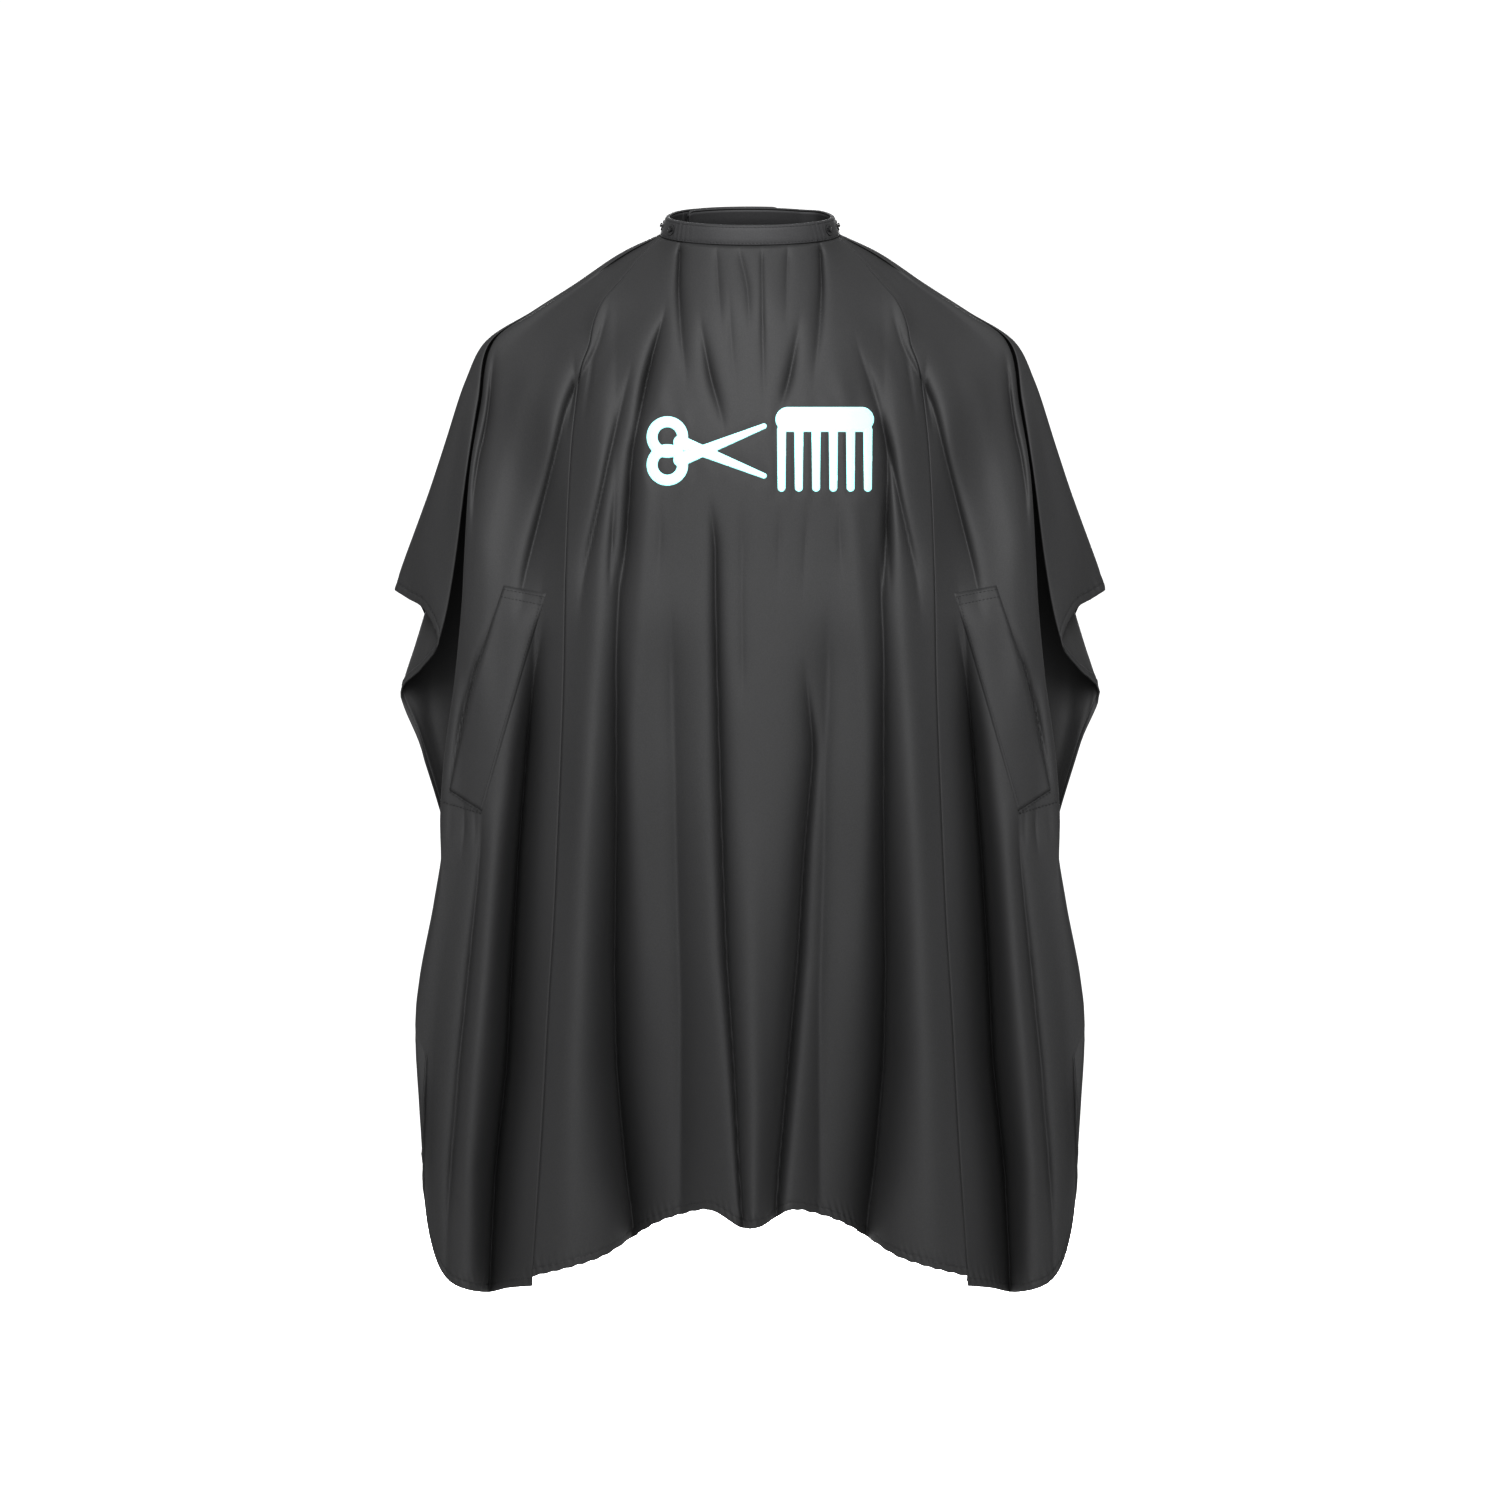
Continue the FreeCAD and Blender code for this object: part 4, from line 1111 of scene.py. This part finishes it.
def new_material(name, colour, roughness, specular=0.5):
    material = bpy.data.materials.new(name)
    material.use_nodes = True
    tree = material.node_tree
    shader = tree.nodes["Principled BSDF"]
    shader.inputs["Base Color"].default_value = (*colour, 1)
    shader.inputs["Roughness"].default_value = roughness
    shader.inputs["Specular IOR Level"].default_value = specular
    return material, tree, shader


def texture_coordinates(tree, scale=(1, 1, 1), turn=(0, 0, 0)):
    coordinates = tree.nodes.new("ShaderNodeTexCoord")
    mapping = tree.nodes.new("ShaderNodeMapping")
    mapping.inputs["Scale"].default_value = scale
    mapping.inputs["Rotation"].default_value = turn
    tree.links.new(coordinates.outputs["Object"], mapping.inputs["Vector"])
    return mapping.outputs["Vector"]


def noise(tree, vector, scale, detail=3.0):
    texture = tree.nodes.new("ShaderNodeTexNoise")
    texture.inputs["Scale"].default_value = scale
    texture.inputs["Detail"].default_value = detail
    tree.links.new(vector, texture.inputs["Vector"])
    return texture.outputs["Fac"]


def weave_bump(tree, shader, height, distance):
    bump = tree.nodes.new("ShaderNodeBump")
    bump.inputs["Strength"].default_value = 0.5
    bump.inputs["Distance"].default_value = distance
    tree.links.new(height, bump.inputs["Height"])
    tree.links.new(bump.outputs["Normal"], shader.inputs["Normal"])


def vary_colour(tree, shader, factor, dark, light):
    ramp = tree.nodes.new("ShaderNodeValToRGB")
    ramp.color_ramp.elements[0].position = 0.3
    ramp.color_ramp.elements[1].position = 0.7
    ramp.color_ramp.elements[0].color = (*dark, 1)
    ramp.color_ramp.elements[1].color = (*light, 1)
    tree.links.new(factor, ramp.inputs["Fac"])
    tree.links.new(ramp.outputs["Color"], shader.inputs["Base Color"])


def cloth_material(name, dark, light, roughness, specular):
    material, tree, shader = new_material(name, light, roughness, specular)
    shader.inputs["Sheen Weight"].default_value = 0.03
    shader.inputs["Sheen Roughness"].default_value = 0.5
    vector = texture_coordinates(tree)
    vary_colour(tree, shader, noise(tree, vector, 900, 2.0), dark, light)
    threads = noise(tree, texture_coordinates(tree, (1, 1, 0.25)), 2400, 2.0)
    weave_bump(tree, shader, threads, 0.0001)
    return material


def thread_material():
    material, tree, shader = new_material("embroidery_thread", (0.24, 0.44, 0.43), 0.5, 0.3)
    shader.inputs["Sheen Weight"].default_value = 0.15
    vector = texture_coordinates(tree, (0.6, 1, 1), (0, 0.5, 0))
    wave = tree.nodes.new("ShaderNodeTexWave")
    wave.inputs["Scale"].default_value = 420
    wave.inputs["Distortion"].default_value = 2.5
    wave.inputs["Detail"].default_value = 1.0
    wave.bands_direction = "Z"
    tree.links.new(vector, wave.inputs["Vector"])
    vary_colour(tree, shader, wave.outputs["Fac"], (0.19, 0.37, 0.36), (0.26, 0.46, 0.45))
    weave_bump(tree, shader, wave.outputs["Fac"], 0.0002)
    return material


def snap_material(name, colour, metallic, roughness):
    material, tree, shader = new_material(name, colour, roughness)
    shader.inputs["Metallic"].default_value = metallic
    dark = tuple(value * 0.8 for value in colour)
    vary_colour(tree, shader, noise(tree, texture_coordinates(tree), 600), dark, colour)
    return material


CLOTH = cloth_material("cape_cloth", (0.033, 0.033, 0.0335), (0.038, 0.038, 0.0386), 0.6, 0.22)
BAND_CLOTH = cloth_material("band_cloth", (0.034, 0.034, 0.035), (0.042, 0.042, 0.043), 0.6, 0.25)
THREAD_DARK = cloth_material("dark_thread", (0.028, 0.028, 0.029), (0.036, 0.036, 0.037), 0.6, 0.2)
INTERLINING = cloth_material("interlining", (0.04, 0.04, 0.041), (0.055, 0.055, 0.056), 0.85, 0.2)
THREAD_MINT = thread_material()
SNAP_BLACK = snap_material("snap_black", (0.03, 0.03, 0.031), 0.0, 0.25)
SPRING_WIRE = snap_material("spring_wire", (0.6, 0.6, 0.6), 1.0, 0.3)

NODE_MATERIALS = {
    "interlining": INTERLINING,
    "studs": SNAP_BLACK,
    "tab_sockets": SNAP_BLACK,
    "tab_caps": SNAP_BLACK,
    "tab_socket_springs": SPRING_WIRE,
}


def finish_nodes():
    """A procedural material for each CAD node that stays in view."""
    for name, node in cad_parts.items():
        for part, material in NODE_MATERIALS.items():
            if part in name:
                for place in node.material_slots:
                    place.material = material


# ---- room ----

FLOOR_HEIGHT = -1.25


def add_room():
    """A plain pale floor, well below the hem."""
    steps = np.linspace(-9, 9, 13)
    grid = np.array([[(x, y, FLOOR_HEIGHT) for x in steps] for y in steps])
    material, tree, shader = new_material("pale_floor", (0.95, 0.95, 0.95), 0.9, 0.1)
    patches = noise(tree, texture_coordinates(tree), 3)
    vary_colour(tree, shader, patches, (0.95, 0.95, 0.95), (0.955, 0.955, 0.955))
    faces = grid_faces(*grid.shape[:2])[:, ::-1].tolist()
    add_mesh("floor", grid.reshape(-1, 3), faces, material)


def add_light(name, place, target, size, watts):
    data = bpy.data.lights.new(name, "AREA")
    data.shape = "RECTANGLE"
    data.size, data.size_y = size
    data.energy = watts
    light = bpy.data.objects.new(name, data)
    light.location = place
    direction = Vector(target) - Vector(place)
    light.rotation_euler = direction.to_track_quat("-Z", "Y").to_euler()
    bpy.context.collection.objects.link(light)


def add_lights():
    add_light("key", (0, -2.0, 1.15), (0, 0, -0.1), (2.8, 1.8), 92)
    add_light("back", (0, 3.6, 0.3), (0, 0, -0.4), (3.0, 2.4), 75)
    world = bpy.data.worlds.new("world")
    world.use_nodes = True
    world.node_tree.nodes["Background"].inputs["Color"].default_value = (1, 1, 1, 1)
    world.node_tree.nodes["Background"].inputs["Strength"].default_value = 0.44
    bpy.context.scene.world = world
    settings = bpy.context.scene.view_settings
    settings.view_transform = "Standard"
    settings.exposure = 1.3
    settings.gamma = 0.56


# ---- build ----


def add_panel(name, grid, body, hole=None):
    """One panel of the cape, with its hem."""
    piece = cloth_piece(f"{name}_cloth", hang(grid), CLOTH, hole=hole)
    dress(piece, body, "cape_cloth", name)
    stitching = stitch_mesh(f"{name}_hem_stitching", hem_lines(grid), THREAD_DARK)
    dress(stitching, body, "cape_cloth")
    fold = hem_fold(f"{name}_hem_fold", grid, body)


def main():
    add_camera()
    front = front_grid()
    add_panel("front_panel", front, "cape")
    chest = Surface(front)
    for label, side in (("left", -1), ("right", 1)):
        grid = side_grid(side)
        add_panel(f"side_panel_{label}", grid, "cape", slit_hole(grid, side))
        seam_allowance(label, grid, side)
        add_hand_opening(label, side, Surface(grid))
        body = "back_left" if side < 0 else "cape"
        add_panel(f"back_panel_{label}", back_grid(side), body)
    add_neckband()
    add_embroidery_piece("embroidery_scissors", scissors_distance, SCISSORS_AREA, chest)
    add_embroidery_piece("embroidery_comb", comb_distance, COMB_AREA, chest)
    finish_nodes()
    add_room()
    add_lights()


main()
